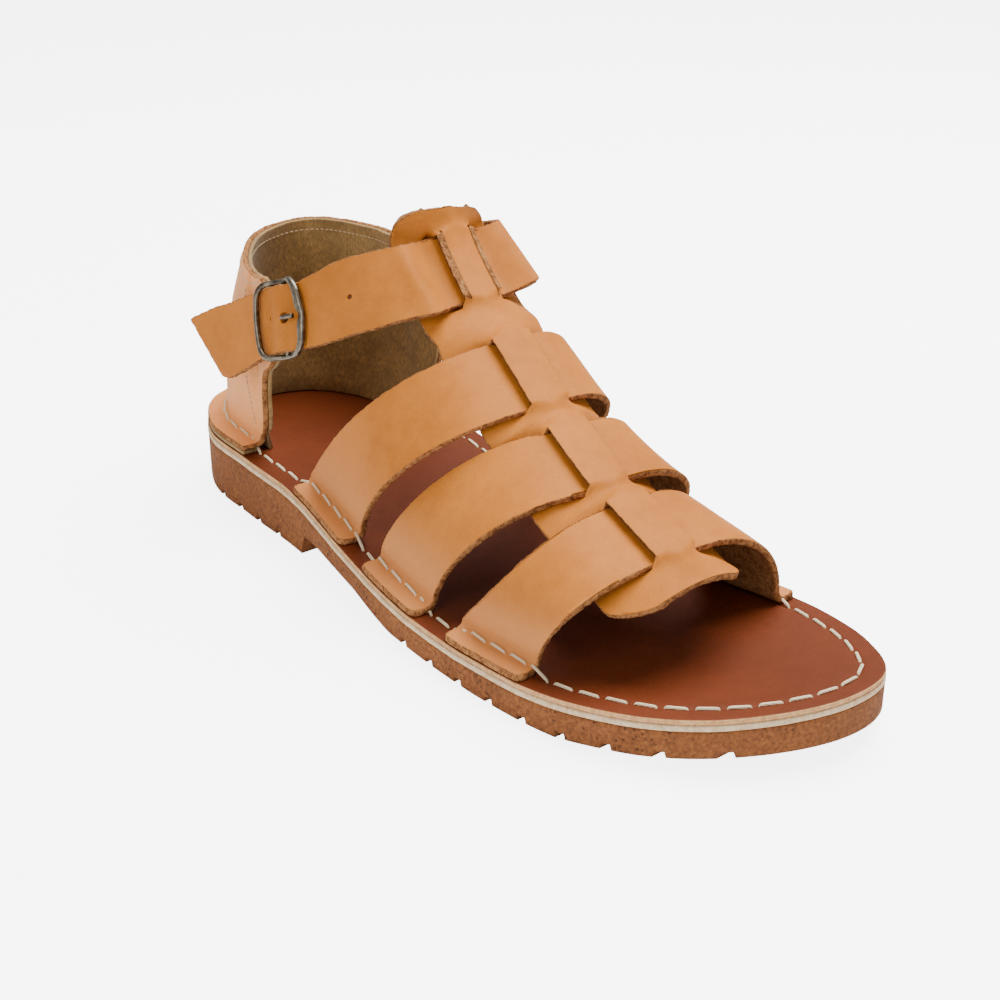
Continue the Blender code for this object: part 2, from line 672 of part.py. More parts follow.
def make_quarter():
    """The heel piece with its tab under the ankle strap and its flange on the footbed."""
    grid = []
    depth = -(LEATHER + TAB_PLAY)
    for position, share in zip(TAB_ROWS, TAB_SHARES):
        half = (strap_half(position) - TAB_MARGIN) * share
        column = [lateral_point(position, half * (2 * k / QUARTER_ROWS - 1), depth)
                  for k in range(QUARTER_ROWS + 1)]
        grid.append([column[0]] * 5 + column)
    for base, top in QUARTER:
        collar = quarter_place(top)
        on_sole = not isinstance(base, tuple)
        if on_sole:
            side, along = edge_place(base * SOLE_LENGTH)
            raise_by = np.array((0, 0, QUARTER_LEATHER - LEATHER))
            root = [p + raise_by for p in root_points(side, along)]
            foot, flange = root[0], root[:0:-1]
        else:
            foot = quarter_place(base)
            flange = [foot] * 5
        out = np.array((unit(collar[:2] - np.array(HEEL_MIDDLE)).tolist() + [0]))
        swell = QUARTER_BULGE if on_sole else 0
        column = []
        for k in range(QUARTER_ROWS + 1):
            share = k / QUARTER_ROWS
            column.append(foot + (collar - foot) * share + out * swell * math.sin(math.pi * share))
        grid.append(list(flange) + column)
    grid = np.array(grid)
    on_sole = [False] * len(TAB_ROWS) + [not isinstance(row[0], tuple) for row in QUARTER]
    missing = {(c, r) for c in range(len(grid) - 1) for r in range(5)
               if not (on_sole[c] and on_sole[c + 1])}
    wall = grid[:, 5:]
    normals = np.empty_like(grid)
    normals[:, 5:] = grid_normals(wall)
    first, last = on_sole.index(True), len(on_sole) - on_sole[::-1].index(True)
    normals[first:last] = grid_normals(grid[first:last])
    normals[:first, :5] = (0, 0, 1)
    normals[last:, :5] = (0, 0, 1)
    inner = grid - normals * QUARTER_LEATHER
    shell("heel_quarter", grid, inner, (0.66, 0.34, 0.15), missing)


def tube(name, path, radius, sides, closed, colour):
    """A round wire along a path, as one body."""
    path = np.asarray(path)
    count = len(path)
    rings = []
    reference = None
    for k in range(count):
        if closed:
            along = unit(path[(k + 1) % count] - path[k - 1])
        else:
            along = unit(path[min(k + 1, count - 1)] - path[max(k - 1, 0)])
        if reference is None:
            reference = unit(np.cross(along, (0.3, 0.1, 1.0)))
        reference = unit(reference - along * np.dot(reference, along))
        second = np.cross(along, reference)
        rings.append([path[k] + radius * (reference * math.cos(t) + second * math.sin(t))
                      for t in np.arange(sides) * 2 * math.pi / sides])
    if not closed:
        return loft(name, rings, colour, metallic=1.0, roughness=0.4)
    points = [p for ring in rings for p in ring]
    faces = []
    for r in range(count):
        low, high = r * sides, ((r + 1) % count) * sides
        for k in range(sides):
            faces.append((low + k, low + (k + 1) % sides, high + (k + 1) % sides, high + k))
    return make_object(name, points, faces, colour, metallic=1.0, roughness=0.4)


def buckle_bow(run_share):
    """Height of the frame's wire over the strap's resting face, along the strap."""
    over = 1.6 * GAP + WIRE / 2
    under = STRAP_LIFT - LEATHER - 1.3 * GAP - BAR / 2
    return over + (under - over) * math.cos(math.pi / 2 * run_share) ** 2


def buckle_point(forward, across, out):
    """A point given from the centre bar: towards the free end, up the leg, off the strap."""
    middle = [strap_row(STRAP_LATERAL, BUCKLE_ROW + k)[0] for k in (-1, 0, 1)]
    back = np.linalg.norm(middle[1] - middle[0])
    front = np.linalg.norm(middle[2] - middle[1])
    return lateral_point(BUCKLE_ROW + forward / (front if forward > 0 else back), across, out)


def make_buckle():
    half_run = BUCKLE_LENGTH / 2
    half_width = PINCHED_WIDTH / 2 + BUCKLE_PLAY + WIRE / 2
    path = []
    for x_sign, y_sign, start in ((1, 1, 0), (-1, 1, 90), (-1, -1, 180), (1, -1, 270)):
        for step in range(5):
            angle = math.radians(start + step * 22.5)
            path.append((x_sign * (half_run - BUCKLE_CORNER) + BUCKLE_CORNER * math.cos(angle),
                         y_sign * (half_width - BUCKLE_CORNER) + BUCKLE_CORNER * math.sin(angle)))
        if start in (0, 180):
            path.append(None)
        else:
            path.append("side")
    points = []
    for index, item in enumerate(path):
        if item is None:
            y = path[index - 1][1]
            x_start = path[index - 1][0]
            points += [(x_start * s, y) for s in (0.5, 0.0, -0.5)]
        elif item == "side":
            x = path[index - 1][0]
            points.append((x, 0.0))
        else:
            points.append(item)
    world = []
    for x, y in points:
        bowed = x + math.copysign(BAR_BOW, x) * (1 - (y / half_width) ** 2) * abs(x) / half_run
        world.append(buckle_point(bowed, y, buckle_bow(min(abs(x) / half_run, 1))))
    metal = (0.5, 0.45, 0.36)
    frame = tube("buckle_frame", world, WIRE / 2, 8, True, metal)
    bar_height = buckle_bow(0)
    ends = [buckle_point(0, y, bar_height) for y in (-half_width, half_width)]
    bar = rod("centre_bar", ends[0], ends[1], BAR / 2, 10)
    hide(bar)
    join(frame, bar, "UNION")
    tip = half_run + PRONG * 0.73
    rest = buckle_bow(1) + WIRE / 2 + GAP + PRONG / 2
    route = [(PRONG_REACH * 0.80, bar_height + GAP), (PRONG_REACH, bar_height + PRONG * 0.73),
             (PRONG_REACH + PRONG * 0.27, rest * 0.75), (PRONG_REACH + PRONG * 1.18, rest),
             (half_run, rest), (tip, rest - GAP)]
    smooth = curve_points([buckle_point(-x, 0, h) for x, h in route], 3)
    tube("buckle_prong", smooth, PRONG / 2, 8, False, metal)


for stale in list(bpy.data.objects):
    bpy.data.objects.remove(stale)
make_sole()
make_upper()
make_quarter()
make_buckle()
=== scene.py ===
# Gladiator sandal for the right foot: a lugged rubber sole under two layers of sole leather, a
# woven instep piece with three foot straps, an ankle strap with a buckle, and a lined heel
# quarter. Metres, +Z up, the toe points to -Y and the inner side of the foot is +X.
import math

import bpy
import numpy as np
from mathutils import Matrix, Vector
from mathutils.bvhtree import BVHTree


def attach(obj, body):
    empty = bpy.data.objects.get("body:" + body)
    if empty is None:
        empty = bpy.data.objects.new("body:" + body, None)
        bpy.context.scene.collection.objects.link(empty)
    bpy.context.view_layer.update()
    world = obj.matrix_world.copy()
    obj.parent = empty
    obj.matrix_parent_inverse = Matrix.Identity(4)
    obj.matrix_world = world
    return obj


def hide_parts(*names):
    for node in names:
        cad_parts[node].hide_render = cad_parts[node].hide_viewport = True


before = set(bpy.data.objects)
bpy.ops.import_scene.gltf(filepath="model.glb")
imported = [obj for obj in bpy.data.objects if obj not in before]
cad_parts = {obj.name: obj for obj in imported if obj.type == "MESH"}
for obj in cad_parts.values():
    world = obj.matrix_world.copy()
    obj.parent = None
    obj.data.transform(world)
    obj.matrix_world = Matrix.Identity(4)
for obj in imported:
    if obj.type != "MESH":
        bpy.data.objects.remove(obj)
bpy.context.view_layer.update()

# Rubber sole
# One slab of brown micro-rubber, thick under the heel, hollow under the waist and turned up at
# the toe. Grooves cut across the tread come out as notches along both sides.
MM = 0.001
SOLE_LENGTH = 285 * MM
BALL_WIDTH = 97 * MM
HEEL_LIFT = 18 * MM
BALL_RUBBER = 7.8 * MM
TOE_RISE = 8 * MM
TOE_SPRING = 7 * MM
WAIST_ARCH = 8 * MM
LUG_GROOVE = 2.6 * MM
LUG_DEPTH = 1.8 * MM
LUG_PITCH = 13.2 * MM
LUG_SLOPE = 0.4 * MM
HEEL_TREAD = (0.126, 0.300)
FOREFOOT_TREAD = (0.575, 0.950)
STATIONS = 260
STATION_GAP = 0.3 * MM
# The rubber's side, from floor to shelf: share of its height, distance in from the edge in mm
RUBBER_SIDE = ((0.0, 0.55), (0.04, 0.12), (0.12, 0.0), (0.3, 0.0), (0.5, 0.0), (0.7, 0.0),
               (0.88, 0.0), (0.96, 0.1), (1.0, 0.45))

# The sole's outline: along as a share of SOLE_LENGTH, across of BALL_WIDTH
OUTLINE = (
    (0.000, 0.010), (0.026, 0.250), (0.098, 0.395), (0.210, 0.443), (0.352, 0.430),
    (0.493, 0.392), (0.617, 0.425), (0.725, 0.483), (0.830, 0.498), (0.928, 0.420),
    (0.990, 0.275), (1.000, 0.100), (0.976, -0.100), (0.912, -0.315), (0.808, -0.457),
    (0.678, -0.500), (0.556, -0.495), (0.433, -0.446), (0.312, -0.385), (0.193, -0.364),
    (0.097, -0.333), (0.025, -0.202),
)
# Top of the rubber: along, share of the heel's extra lift, share of TOE_RISE
SHELF = (
    (0.00, 1.00, 0.00), (0.16, 1.00, 0.00), (0.28, 0.94, 0.00), (0.34, 0.80, 0.00),
    (0.40, 0.62, 0.00), (0.45, 0.46, 0.00), (0.50, 0.31, 0.00), (0.58, 0.10, 0.00),
    (0.67, 0.00, 0.00), (0.755, 0.00, 0.03), (0.815, 0.00, 0.17), (0.88, 0.00, 0.38),
    (0.94, 0.00, 0.64), (1.00, 0.00, 1.00),
)
# Underside: along, share of WAIST_ARCH, share of TOE_SPRING
UNDERSIDE = (
    (0.000, 0.00, 0.00), (0.322, 0.00, 0.00), (0.334, 0.98, 0.00), (0.375, 1.00, 0.00),
    (0.418, 0.90, 0.00), (0.467, 0.74, 0.00), (0.512, 0.41, 0.00), (0.545, 0.20, 0.00),
    (0.600, 0.14, 0.00), (0.660, 0.05, 0.00), (0.690, 0.00, 0.00), (0.800, 0.00, 0.00),
    (0.842, 0.00, 0.19), (0.880, 0.00, 0.34), (0.928, 0.00, 0.60), (0.954, 0.00, 0.74),
    (1.000, 0.00, 1.00),
)


def place(across, along, up):
    """A point given from the heel's back, in the sandal's frame."""
    return np.array((across, SOLE_LENGTH / 2 - along, up))


def unit(vector):
    return vector / np.linalg.norm(vector)


def smooth_curve(points, steps, closed=False):
    """A smooth centripetal Catmull-Rom curve through the points."""
    points = [np.asarray(p, float) for p in points]
    if closed:
        ring = [points[-1]] + points + points[:2]
    else:
        ring = [2 * points[0] - points[1]] + points + [2 * points[-1] - points[-2]]
    t = (np.arange(steps) / steps)[:, None]
    result = []
    for a, b, c, d in zip(ring, ring[1:], ring[2:], ring[3:]):
        t1 = math.sqrt(np.linalg.norm(b - a)) + 1e-9
        t2 = t1 + math.sqrt(np.linalg.norm(c - b)) + 1e-9
        t3 = t2 + math.sqrt(np.linalg.norm(d - c)) + 1e-9
        m = t1 + (t2 - t1) * t
        ab = (t1 - m) / t1 * a + m / t1 * b
        bc = (t2 - m) / (t2 - t1) * b + (m - t1) / (t2 - t1) * c
        cd = (t3 - m) / (t3 - t2) * c + (m - t2) / (t3 - t2) * d
        abc = (t2 - m) / t2 * ab + m / t2 * bc
        bcd = (t3 - m) / (t3 - t1) * bc + (m - t1) / (t3 - t1) * cd
        result.append((t2 - m) / (t2 - t1) * abc + (m - t1) / (t2 - t1) * bcd)
    if not closed:
        result.append(points[-1][None])
    return np.concatenate(result)


def sole_outline():
    """The outline as (along, across), exactly SOLE_LENGTH by BALL_WIDTH."""
    dense = smooth_curve([(a * SOLE_LENGTH, c * BALL_WIDTH) for a, c in OUTLINE], 32, True)
    low, high = dense.min(axis=0), dense.max(axis=0)
    size = np.array((SOLE_LENGTH, BALL_WIDTH))
    return (dense - low) / (high - low) * size - np.array((0, BALL_WIDTH / 2))


EDGE = sole_outline()
EDGE_OUT = np.roll(EDGE, -1, axis=0) - np.roll(EDGE, 1, axis=0)
EDGE_OUT = np.stack((-EDGE_OUT[:, 1], EDGE_OUT[:, 0]), axis=1)
EDGE_OUT /= np.linalg.norm(EDGE_OUT, axis=1)[:, None]
HEEL_INDEX = int(EDGE[:, 0].argmin())
TOE_INDEX = int(EDGE[:, 0].argmax())


def side_picks(side):
    """Indexes of the outline's points along one side, from heel to toe."""
    count = len(EDGE)
    if side > 0:
        return [(HEEL_INDEX + k) % count for k in range((TOE_INDEX - HEEL_INDEX) % count + 1)]
    return [(HEEL_INDEX - k) % count for k in range((HEEL_INDEX - TOE_INDEX) % count + 1)]


SIDE_PICKS = {side: side_picks(side) for side in (-1, 1)}


def table_value(table, along, *sizes):
    """Sum of the table's shares times their sizes, at places along the sole."""
    data = np.array(table)
    share = along / SOLE_LENGTH
    return sum(np.interp(share, data[:, 0], data[:, k + 1]) * s for k, s in enumerate(sizes))


def shelf(along):
    return BALL_RUBBER + table_value(SHELF, along, HEEL_LIFT - BALL_RUBBER, TOE_RISE)


def groove_centres():
    centres = []
    for first, last in (HEEL_TREAD, FOREFOOT_TREAD):
        span = (last - first) * SOLE_LENGTH
        centres += [first * SOLE_LENGTH + k * LUG_PITCH for k in range(int(span / LUG_PITCH) + 1)]
    return centres


def underside(along):
    height = table_value(UNDERSIDE, along, WAIST_ARCH, TOE_SPRING)
    for centre in groove_centres():
        distance = np.abs(along - centre)
        height = height + LUG_DEPTH * np.clip((LUG_GROOVE / 2 + LUG_SLOPE - distance) / LUG_SLOPE, 0, 1)
    return height


def soft_noise(points, size, seed=0):
    """Smooth noise between -1 and 1 at each point, with lumps of about the given size."""
    cell = np.asarray(points) / size + seed * 17.31
    base = np.floor(cell).astype(np.int64)
    part = cell - base
    part = part * part * (3 - 2 * part)
    total = np.zeros(cell.shape[:-1])
    for corner in range(8):
        step = np.array([(corner >> k) & 1 for k in range(3)])
        key = (base + step) @ np.array((73856093, 19349663, 83492791))
        key = (key ^ (key >> 13)) * 1274126177
        value = ((key ^ (key >> 16)) & 0xFFFF) / 32767.5 - 1
        total += value * np.prod(np.where(step, part, 1 - part), axis=-1)
    return total


def make_piece(name, points, faces, material, node, marks=()):
    """A smooth-shaded mesh that rides with the sandal and stands for a CAD node."""
    mesh = bpy.data.meshes.new(name)
    mesh.from_pydata(np.asarray(points).tolist(), [], faces)
    mesh.update()
    for label, values in marks:
        layer = mesh.attributes.new(label, "FLOAT", "POINT")
        layer.data.foreach_set("value", np.asarray(values, np.float32))
    mesh.materials.append(material)
    mesh.shade_smooth()
    item = bpy.data.objects.new(name, mesh)
    bpy.context.scene.collection.objects.link(item)
    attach(item, "root")
    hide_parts(node)
    return item


def ring_faces(count, size, closed_rings=False):
    """Quads between successive rings of equal size."""
    faces = []
    for r in range(count if closed_rings else count - 1):
        low, high = r * size, (r + 1) % count * size
        for k in range(size):
            faces.append((low + k, low + (k + 1) % size, high + (k + 1) % size, high + k))
    return faces


def start_group(name, inputs, outputs):
    """A shader node group with named sockets; returns its tree, input and output nodes."""
    tree = bpy.data.node_groups.new(name, "ShaderNodeTree")
    kinds = {float: "NodeSocketFloat", tuple: "NodeSocketColor"}
    for label, value in inputs:
        socket = tree.interface.new_socket(name=label, in_out="INPUT", socket_type=kinds[type(value)])
        socket.default_value = (*value, 1) if isinstance(value, tuple) else value
    for label, kind in outputs:
        tree.interface.new_socket(name=label, in_out="OUTPUT", socket_type=kinds[kind])
    return tree, tree.nodes.new("NodeGroupInput"), tree.nodes.new("NodeGroupOutput")


def add(tree, kind, links=(), **values):
    """Adds a node, sets its properties and fills its inputs with sockets or constants."""
    item = tree.nodes.new(kind)
    for key, value in values.items():
        setattr(item, key, value)
    for socket, source in links:
        if isinstance(source, bpy.types.NodeSocket):
            tree.links.new(source, item.inputs[socket])
        elif isinstance(source, tuple) and len(source) == 3 and item.inputs[socket].type == "RGBA":
            item.inputs[socket].default_value = (*source, 1)
        else:
            item.inputs[socket].default_value = source
    return item


def mathed(tree, operation, a, b, c=0.5):
    return add(tree, "ShaderNodeMath", ((0, a), (1, b), (2, c)), operation=operation).outputs[0]


def mixed(tree, factor, a, b):
    """A colour between a and b."""
    return add(tree, "ShaderNodeMix", ((0, factor), (6, a), (7, b)), data_type="RGBA").outputs[2]


def ramped(tree, source, low, high):
    """A share from 0 at low to 1 at high."""
    item = add(tree, "ShaderNodeMapRange", ((0, source), (1, low), (2, high)))
    item.interpolation_type = "SMOOTHSTEP"
    return item.outputs[0]


def placed(tree, stretch=(1, 1, 1)):
    """Object coordinates, stretched."""
    coords = add(tree, "ShaderNodeTexCoord").outputs["Object"]
    return add(tree, "ShaderNodeMapping", (("Vector", coords), ("Scale", stretch))).outputs[0]


def noise(tree, vector, scale, detail=3.0, roughness=0.55):
    return add(tree, "ShaderNodeTexNoise", (("Vector", vector), ("Scale", scale), ("Detail", detail),
                                            ("Roughness", roughness))).outputs["Fac"]


def cells(tree, vector, scale, feature="F1"):
    return add(tree, "ShaderNodeTexVoronoi", (("Vector", vector), ("Scale", scale)),
               feature=feature).outputs["Distance"]


def make_mottle_group():
    """Blotches of two colours, large and small."""
    tree, given, out = start_group(
        "mottle", (("Light", (0.8, 0.5, 0.2)), ("Deep", (0.5, 0.3, 0.1)), ("Size", 40.0),
                   ("Contrast", 1.0)), (("Color", tuple),))
    where = placed(tree)
    large = noise(tree, where, given.outputs["Size"], 2.0)
    fine = noise(tree, where, mathed(tree, "MULTIPLY", given.outputs["Size"], 9.0), 4.0, 0.65)
    both = mathed(tree, "MULTIPLY_ADD", fine, 0.35, mathed(tree, "MULTIPLY", large, 0.65))
    spread = mathed(tree, "MULTIPLY_ADD", mathed(tree, "SUBTRACT", both, 0.5), given.outputs["Contrast"], 0.5)
    mask = ramped(tree, spread, 0.25, 0.75)
    tree.links.new(mixed(tree, mask, given.outputs["Light"], given.outputs["Deep"]), out.inputs["Color"])
    return tree


def make_crumb_group():
    """Foamed rubber: pits and crumbs of darker and paler brown."""
    tree, given, out = start_group("rubber_crumb", (("Size", 900.0),), (("Tone", float), ("Height", float)))
    where = placed(tree)
    grit = noise(tree, where, given.outputs["Size"], 5.0, 0.7)
    pits = cells(tree, where, mathed(tree, "MULTIPLY", given.outputs["Size"], 0.7))
    patches = noise(tree, where, 60.0, 2.0)
    open_pits = mathed(tree, "MULTIPLY", ramped(tree, pits, 0.32, 0.08), ramped(tree, patches, 0.46, 0.62))
    shaded = mathed(tree, "SUBTRACT", grit, mathed(tree, "MULTIPLY", open_pits, 0.5))
    tree.links.new(shaded, out.inputs["Tone"])
    tree.links.new(mathed(tree, "SUBTRACT", grit, open_pits), out.inputs["Height"])
    return tree


MOTTLE = make_mottle_group()
CRUMB = make_crumb_group()


def start_material(name, roughness):
    material = bpy.data.materials.new(name)
    material.use_nodes = True
    tree = material.node_tree
    shader = tree.nodes["Principled BSDF"]
    shader.inputs["Roughness"].default_value = roughness
    return material, tree, shader


def grouped(tree, group, links=()):
    return add(tree, "ShaderNodeGroup", links, node_tree=group)


def bumped(tree, shader, height, distance):
    bump = add(tree, "ShaderNodeBump", (("Height", height), ("Distance", distance), ("Strength", 1.0)))
    tree.links.new(bump.outputs[0], shader.inputs["Normal"])


def make_rubber():
    material, tree, shader = start_material("brown_micro_rubber", 0.82)
    shader.inputs["Specular IOR Level"].default_value = 0.25
    blotch = grouped(tree, MOTTLE, (("Light", (0.370, 0.128, 0.035)), ("Deep", (0.270, 0.088, 0.023)),
                                    ("Size", 30.0), ("Contrast", 1.6)))
    crumb = grouped(tree, CRUMB, (("Size", 850.0),))
    tone = ramped(tree, crumb.outputs["Tone"], 0.25, 0.70)
    dark = mixed(tree, tone, (0.125, 0.045, 0.016), blotch.outputs["Color"])
    pale = mixed(tree, ramped(tree, crumb.outputs["Tone"], 0.60, 0.78), dark, (0.38, 0.18, 0.07))
    tree.links.new(pale, shader.inputs["Base Color"])
    bumped(tree, shader, crumb.outputs["Height"], 0.45 * MM)
    return material


def make_outsole():
    """Cross-sections from heel to toe, close together at the ends and at every groove."""
    half = LUG_GROOVE / 2
    cuts = [c + d for c in groove_centres() for d in (-half - LUG_SLOPE, -half, half, half + LUG_SLOPE)]
    cuts += [row[0] * SOLE_LENGTH for row in UNDERSIDE[1:5]]
    span = SOLE_LENGTH - 0.04 * MM
    stations = [0.02 * MM + span * (1 - math.cos(math.pi * k / STATIONS)) / 2 for k in range(STATIONS + 1)]
    stations = [s for s in stations if min(abs(s - c) for c in cuts) > STATION_GAP]
    stations = np.array(sorted(stations + cuts))
    lateral, medial = EDGE[SIDE_PICKS[-1]], EDGE[SIDE_PICKS[1]]
    left = np.interp(stations, lateral[:, 0], lateral[:, 1])
    right = np.interp(stations, medial[:, 0], medial[:, 1])
    low, high = underside(stations), shelf(stations)
    columns = []
    for share, inward in RUBBER_SIDE[::-1]:
        cut = np.minimum(inward * MM, (right - left) / 5)
        columns.append((left + cut, low + (high - low) * share))
    for share in (0.15, 0.4, 0.6, 0.85):
        columns.append((left + (right - left) * share, low))
    for share, inward in RUBBER_SIDE:
        cut = np.minimum(inward * MM, (right - left) / 5)
        columns.append((right - cut, low + (high - low) * share))
    grid = np.array([[place(x[s], stations[s], z[s]) for x, z in columns] for s in range(len(stations))])
    size = len(columns)
    faces = ring_faces(len(stations), size)
    last = (len(stations) - 1) * size
    faces += [tuple(range(size))[::-1], tuple(last + k for k in range(size))]
    return make_piece("rubber_sole", grid.reshape(-1, 3), faces, make_rubber(), "outsole")


make_outsole()

# Midsole and footbed
# Two layers of vegetable-tanned sole leather, 1.6 mm each. The lower one shows a bare cream cut
# edge; the upper one is dyed red-brown on its face, and sewn down along a shallow channel.
GAP = 0.3 * MM
SOLE_LEATHER = 1.6 * MM
FOOTBED_DISH = 0.9 * MM
STITCH_INSET = 6.4 * MM
CHANNEL_DEPTH = 0.3 * MM
INNER_INSET = 9 * MM
BACK_INSET = 2 * MM
BACK_SHARE = 0.6
EDGE_WOBBLE = 0.06 * MM
# Midsole's cut edge, from below: share of its height, distance in from the sole's edge in mm
MIDSOLE_EDGE = ((0.0, 0.35), (0.10, 0.05), (0.30, -0.10), (0.70, -0.10), (0.92, 0.05), (1.0, 0.3))
# Footbed's edge and face, from below: distance in from the edge in mm, depth under the face as
# a share of SOLE_LEATHER and as a share of CHANNEL_DEPTH, share of bare cut edge
FOOTBED_EDGE = (
    (0.15, 0.8, 0.0, 1.0), (0.05, 0.45, 0.0, 1.0), (0.12, 0.2, 0.0, 0.8), (0.30, 0.07, 0.0, 0.3),
    (0.60, 0.0, 0.0, 0.05), (1.1, 0.0, 0.0, 0.0), (2.4, 0.0, 0.0, 0.0), (4.0, 0.0, 0.0, 0.0),
    (5.3, 0.0, 0.0, 0.0), (5.8, 0.0, 0.5, 0.0), (6.2, 0.0, 1.0, 0.0), (6.6, 0.0, 1.0, 0.0),
    (7.0, 0.0, 0.5, 0.0), (7.6, 0.0, 0.0, 0.0),
)
INNER_DROP = 0.02 * MM


def footbed_top(along):
    return shelf(along) + 2 * GAP + 2 * SOLE_LEATHER


def sole_loop(inset, height):
    """Points round the sole's edge, moved in, at a height given as a function of along."""
    ring = EDGE - EDGE_OUT * inset
    return np.stack((ring[:, 1], SOLE_LENGTH / 2 - ring[:, 0], height(ring[:, 0])), axis=1)


def inner_loop(inset, share, height):
    """The loop at an inset, drawn in by a share towards the sole's middle line."""
    ring = EDGE - EDGE_OUT * inset
    along = np.clip(ring[:, 0], 0.15 * SOLE_LENGTH, 0.86 * SOLE_LENGTH)
    lateral, medial = EDGE[SIDE_PICKS[-1]], EDGE[SIDE_PICKS[1]]
    middle = (np.interp(along, lateral[:, 0], lateral[:, 1])
              + np.interp(along, medial[:, 0], medial[:, 1])) / 2
    ring = ring + (np.stack((along, middle), axis=1) - ring) * share
    return np.stack((ring[:, 1], SOLE_LENGTH / 2 - ring[:, 0], height(ring[:, 0])), axis=1)


def make_slab(name, rings, cut, material, node):
    points = np.concatenate(rings)
    marks = (("cut", np.repeat(cut, len(EDGE))),)
    faces = ring_faces(len(rings), len(EDGE))
    return make_piece(name, points, [f[::-1] for f in faces], material, node, marks)


def make_fibre_group():
    """Cut leather: matted fibres, with dark pits between them."""
    tree, given, out = start_group("cut_fibre", (("Size", 700.0),), (("Tone", float), ("Height", float)))
    where = placed(tree)
    mat = noise(tree, where, given.outputs["Size"], 6.0, 0.75)
    clumps = noise(tree, where, mathed(tree, "MULTIPLY", given.outputs["Size"], 0.4), 2.0)
    height = mathed(tree, "MULTIPLY_ADD", clumps, 0.35, mathed(tree, "MULTIPLY", mat, 0.65))
    tree.links.new(ramped(tree, height, 0.36, 0.62), out.inputs["Tone"])
    tree.links.new(height, out.inputs["Height"])
    return tree


def make_grain_group():
    """Tanned grain: fine pebbles, pores and soft drawn lines."""
    tree, given, out = start_group("tanned_grain", (("Size", 1400.0), ("Pores", 0.5)),
                                   (("Tone", float), ("Height", float)))
    where = placed(tree)
    warp = noise(tree, where, mathed(tree, "MULTIPLY", given.outputs["Size"], 0.2), 3.0)
    pebble = cells(tree, where, given.outputs["Size"], "SMOOTH_F1")
    fine = noise(tree, where, mathed(tree, "MULTIPLY", given.outputs["Size"], 1.7), 4.0, 0.7)
    holes = cells(tree, where, mathed(tree, "MULTIPLY", given.outputs["Size"], 0.45))
    pores = mathed(tree, "MULTIPLY", ramped(tree, holes, 0.16, 0.05), given.outputs["Pores"])
    body = mathed(tree, "ADD", mathed(tree, "MULTIPLY", pebble, 0.5), mathed(tree, "MULTIPLY", fine, 0.4))
    body = mathed(tree, "MULTIPLY_ADD", warp, 0.5, body)
    tree.links.new(mathed(tree, "SUBTRACT", body, pores), out.inputs["Height"])
    tree.links.new(mathed(tree, "SUBTRACT", fine, mathed(tree, "MULTIPLY", pores, 0.6)), out.inputs["Tone"])
    return tree


FIBRE = make_fibre_group()
GRAIN = make_grain_group()


def make_sole_leather(name, light, deep, edge_light, edge_deep, roughness):
    """Smooth dyed face where the mark "cut" is 0, bare cut edge where it is 1."""
    material, tree, shader = start_material(name, roughness)
    shader.inputs["Specular IOR Level"].default_value = 0.15
    face = grouped(tree, MOTTLE, (("Light", light), ("Deep", deep), ("Size", 18.0), ("Contrast", 1.3)))
    grain = grouped(tree, GRAIN, (("Size", 1500.0), ("Pores", 0.3)))
    fibre = grouped(tree, FIBRE, (("Size", 900.0),))
    edge = mixed(tree, fibre.outputs["Tone"], edge_deep, edge_light)
    cut = add(tree, "ShaderNodeAttribute", attribute_name="cut").outputs["Fac"]
    cut_share = ramped(tree, cut, 0.15, 0.65)
    toned = mixed(tree, ramped(tree, grain.outputs["Tone"], 0.2, 0.75), deep, face.outputs["Color"])
    tree.links.new(mixed(tree, cut_share, toned, edge), shader.inputs["Base Color"])
    tree.links.new(mathed(tree, "MULTIPLY_ADD", cut_share, 0.35, roughness), shader.inputs["Roughness"])
    height = mathed(tree, "MULTIPLY_ADD", mathed(tree, "MULTIPLY", fibre.outputs["Height"], cut_share), 2.0,
                    grain.outputs["Height"])
    bumped(tree, shader, height, 0.10 * MM)
    return material


def make_midsole():
    low = lambda s: shelf(s) + GAP * 0.3
    high = lambda s: shelf(s) + GAP + SOLE_LEATHER
    between = lambda share: (lambda s: low(s) + (high(s) - low(s)) * share)
    rings = [inner_loop(INNER_INSET, BACK_SHARE, low), sole_loop(BACK_INSET, low)]
    for share, inset in MIDSOLE_EDGE:
        ring = sole_loop(inset * MM, between(share))
        wobble = soft_noise(ring, 3 * MM, 3)[:, None] * EDGE_WOBBLE
        ring[:, :2] += np.stack((EDGE_OUT[:, 1], -EDGE_OUT[:, 0]), axis=1) * wobble
        rings.append(ring)
    rings += [sole_loop(BACK_INSET, high), inner_loop(INNER_INSET, BACK_SHARE, high)]
    cut = [1.0] * len(rings)
    leather = make_sole_leather("cream_sole_leather", (0.80, 0.60, 0.38), (0.70, 0.48, 0.28),
                                (0.80, 0.62, 0.40), (0.58, 0.39, 0.22), 0.6)
    return make_slab("midsole_leather", rings, cut, leather, "midsole")


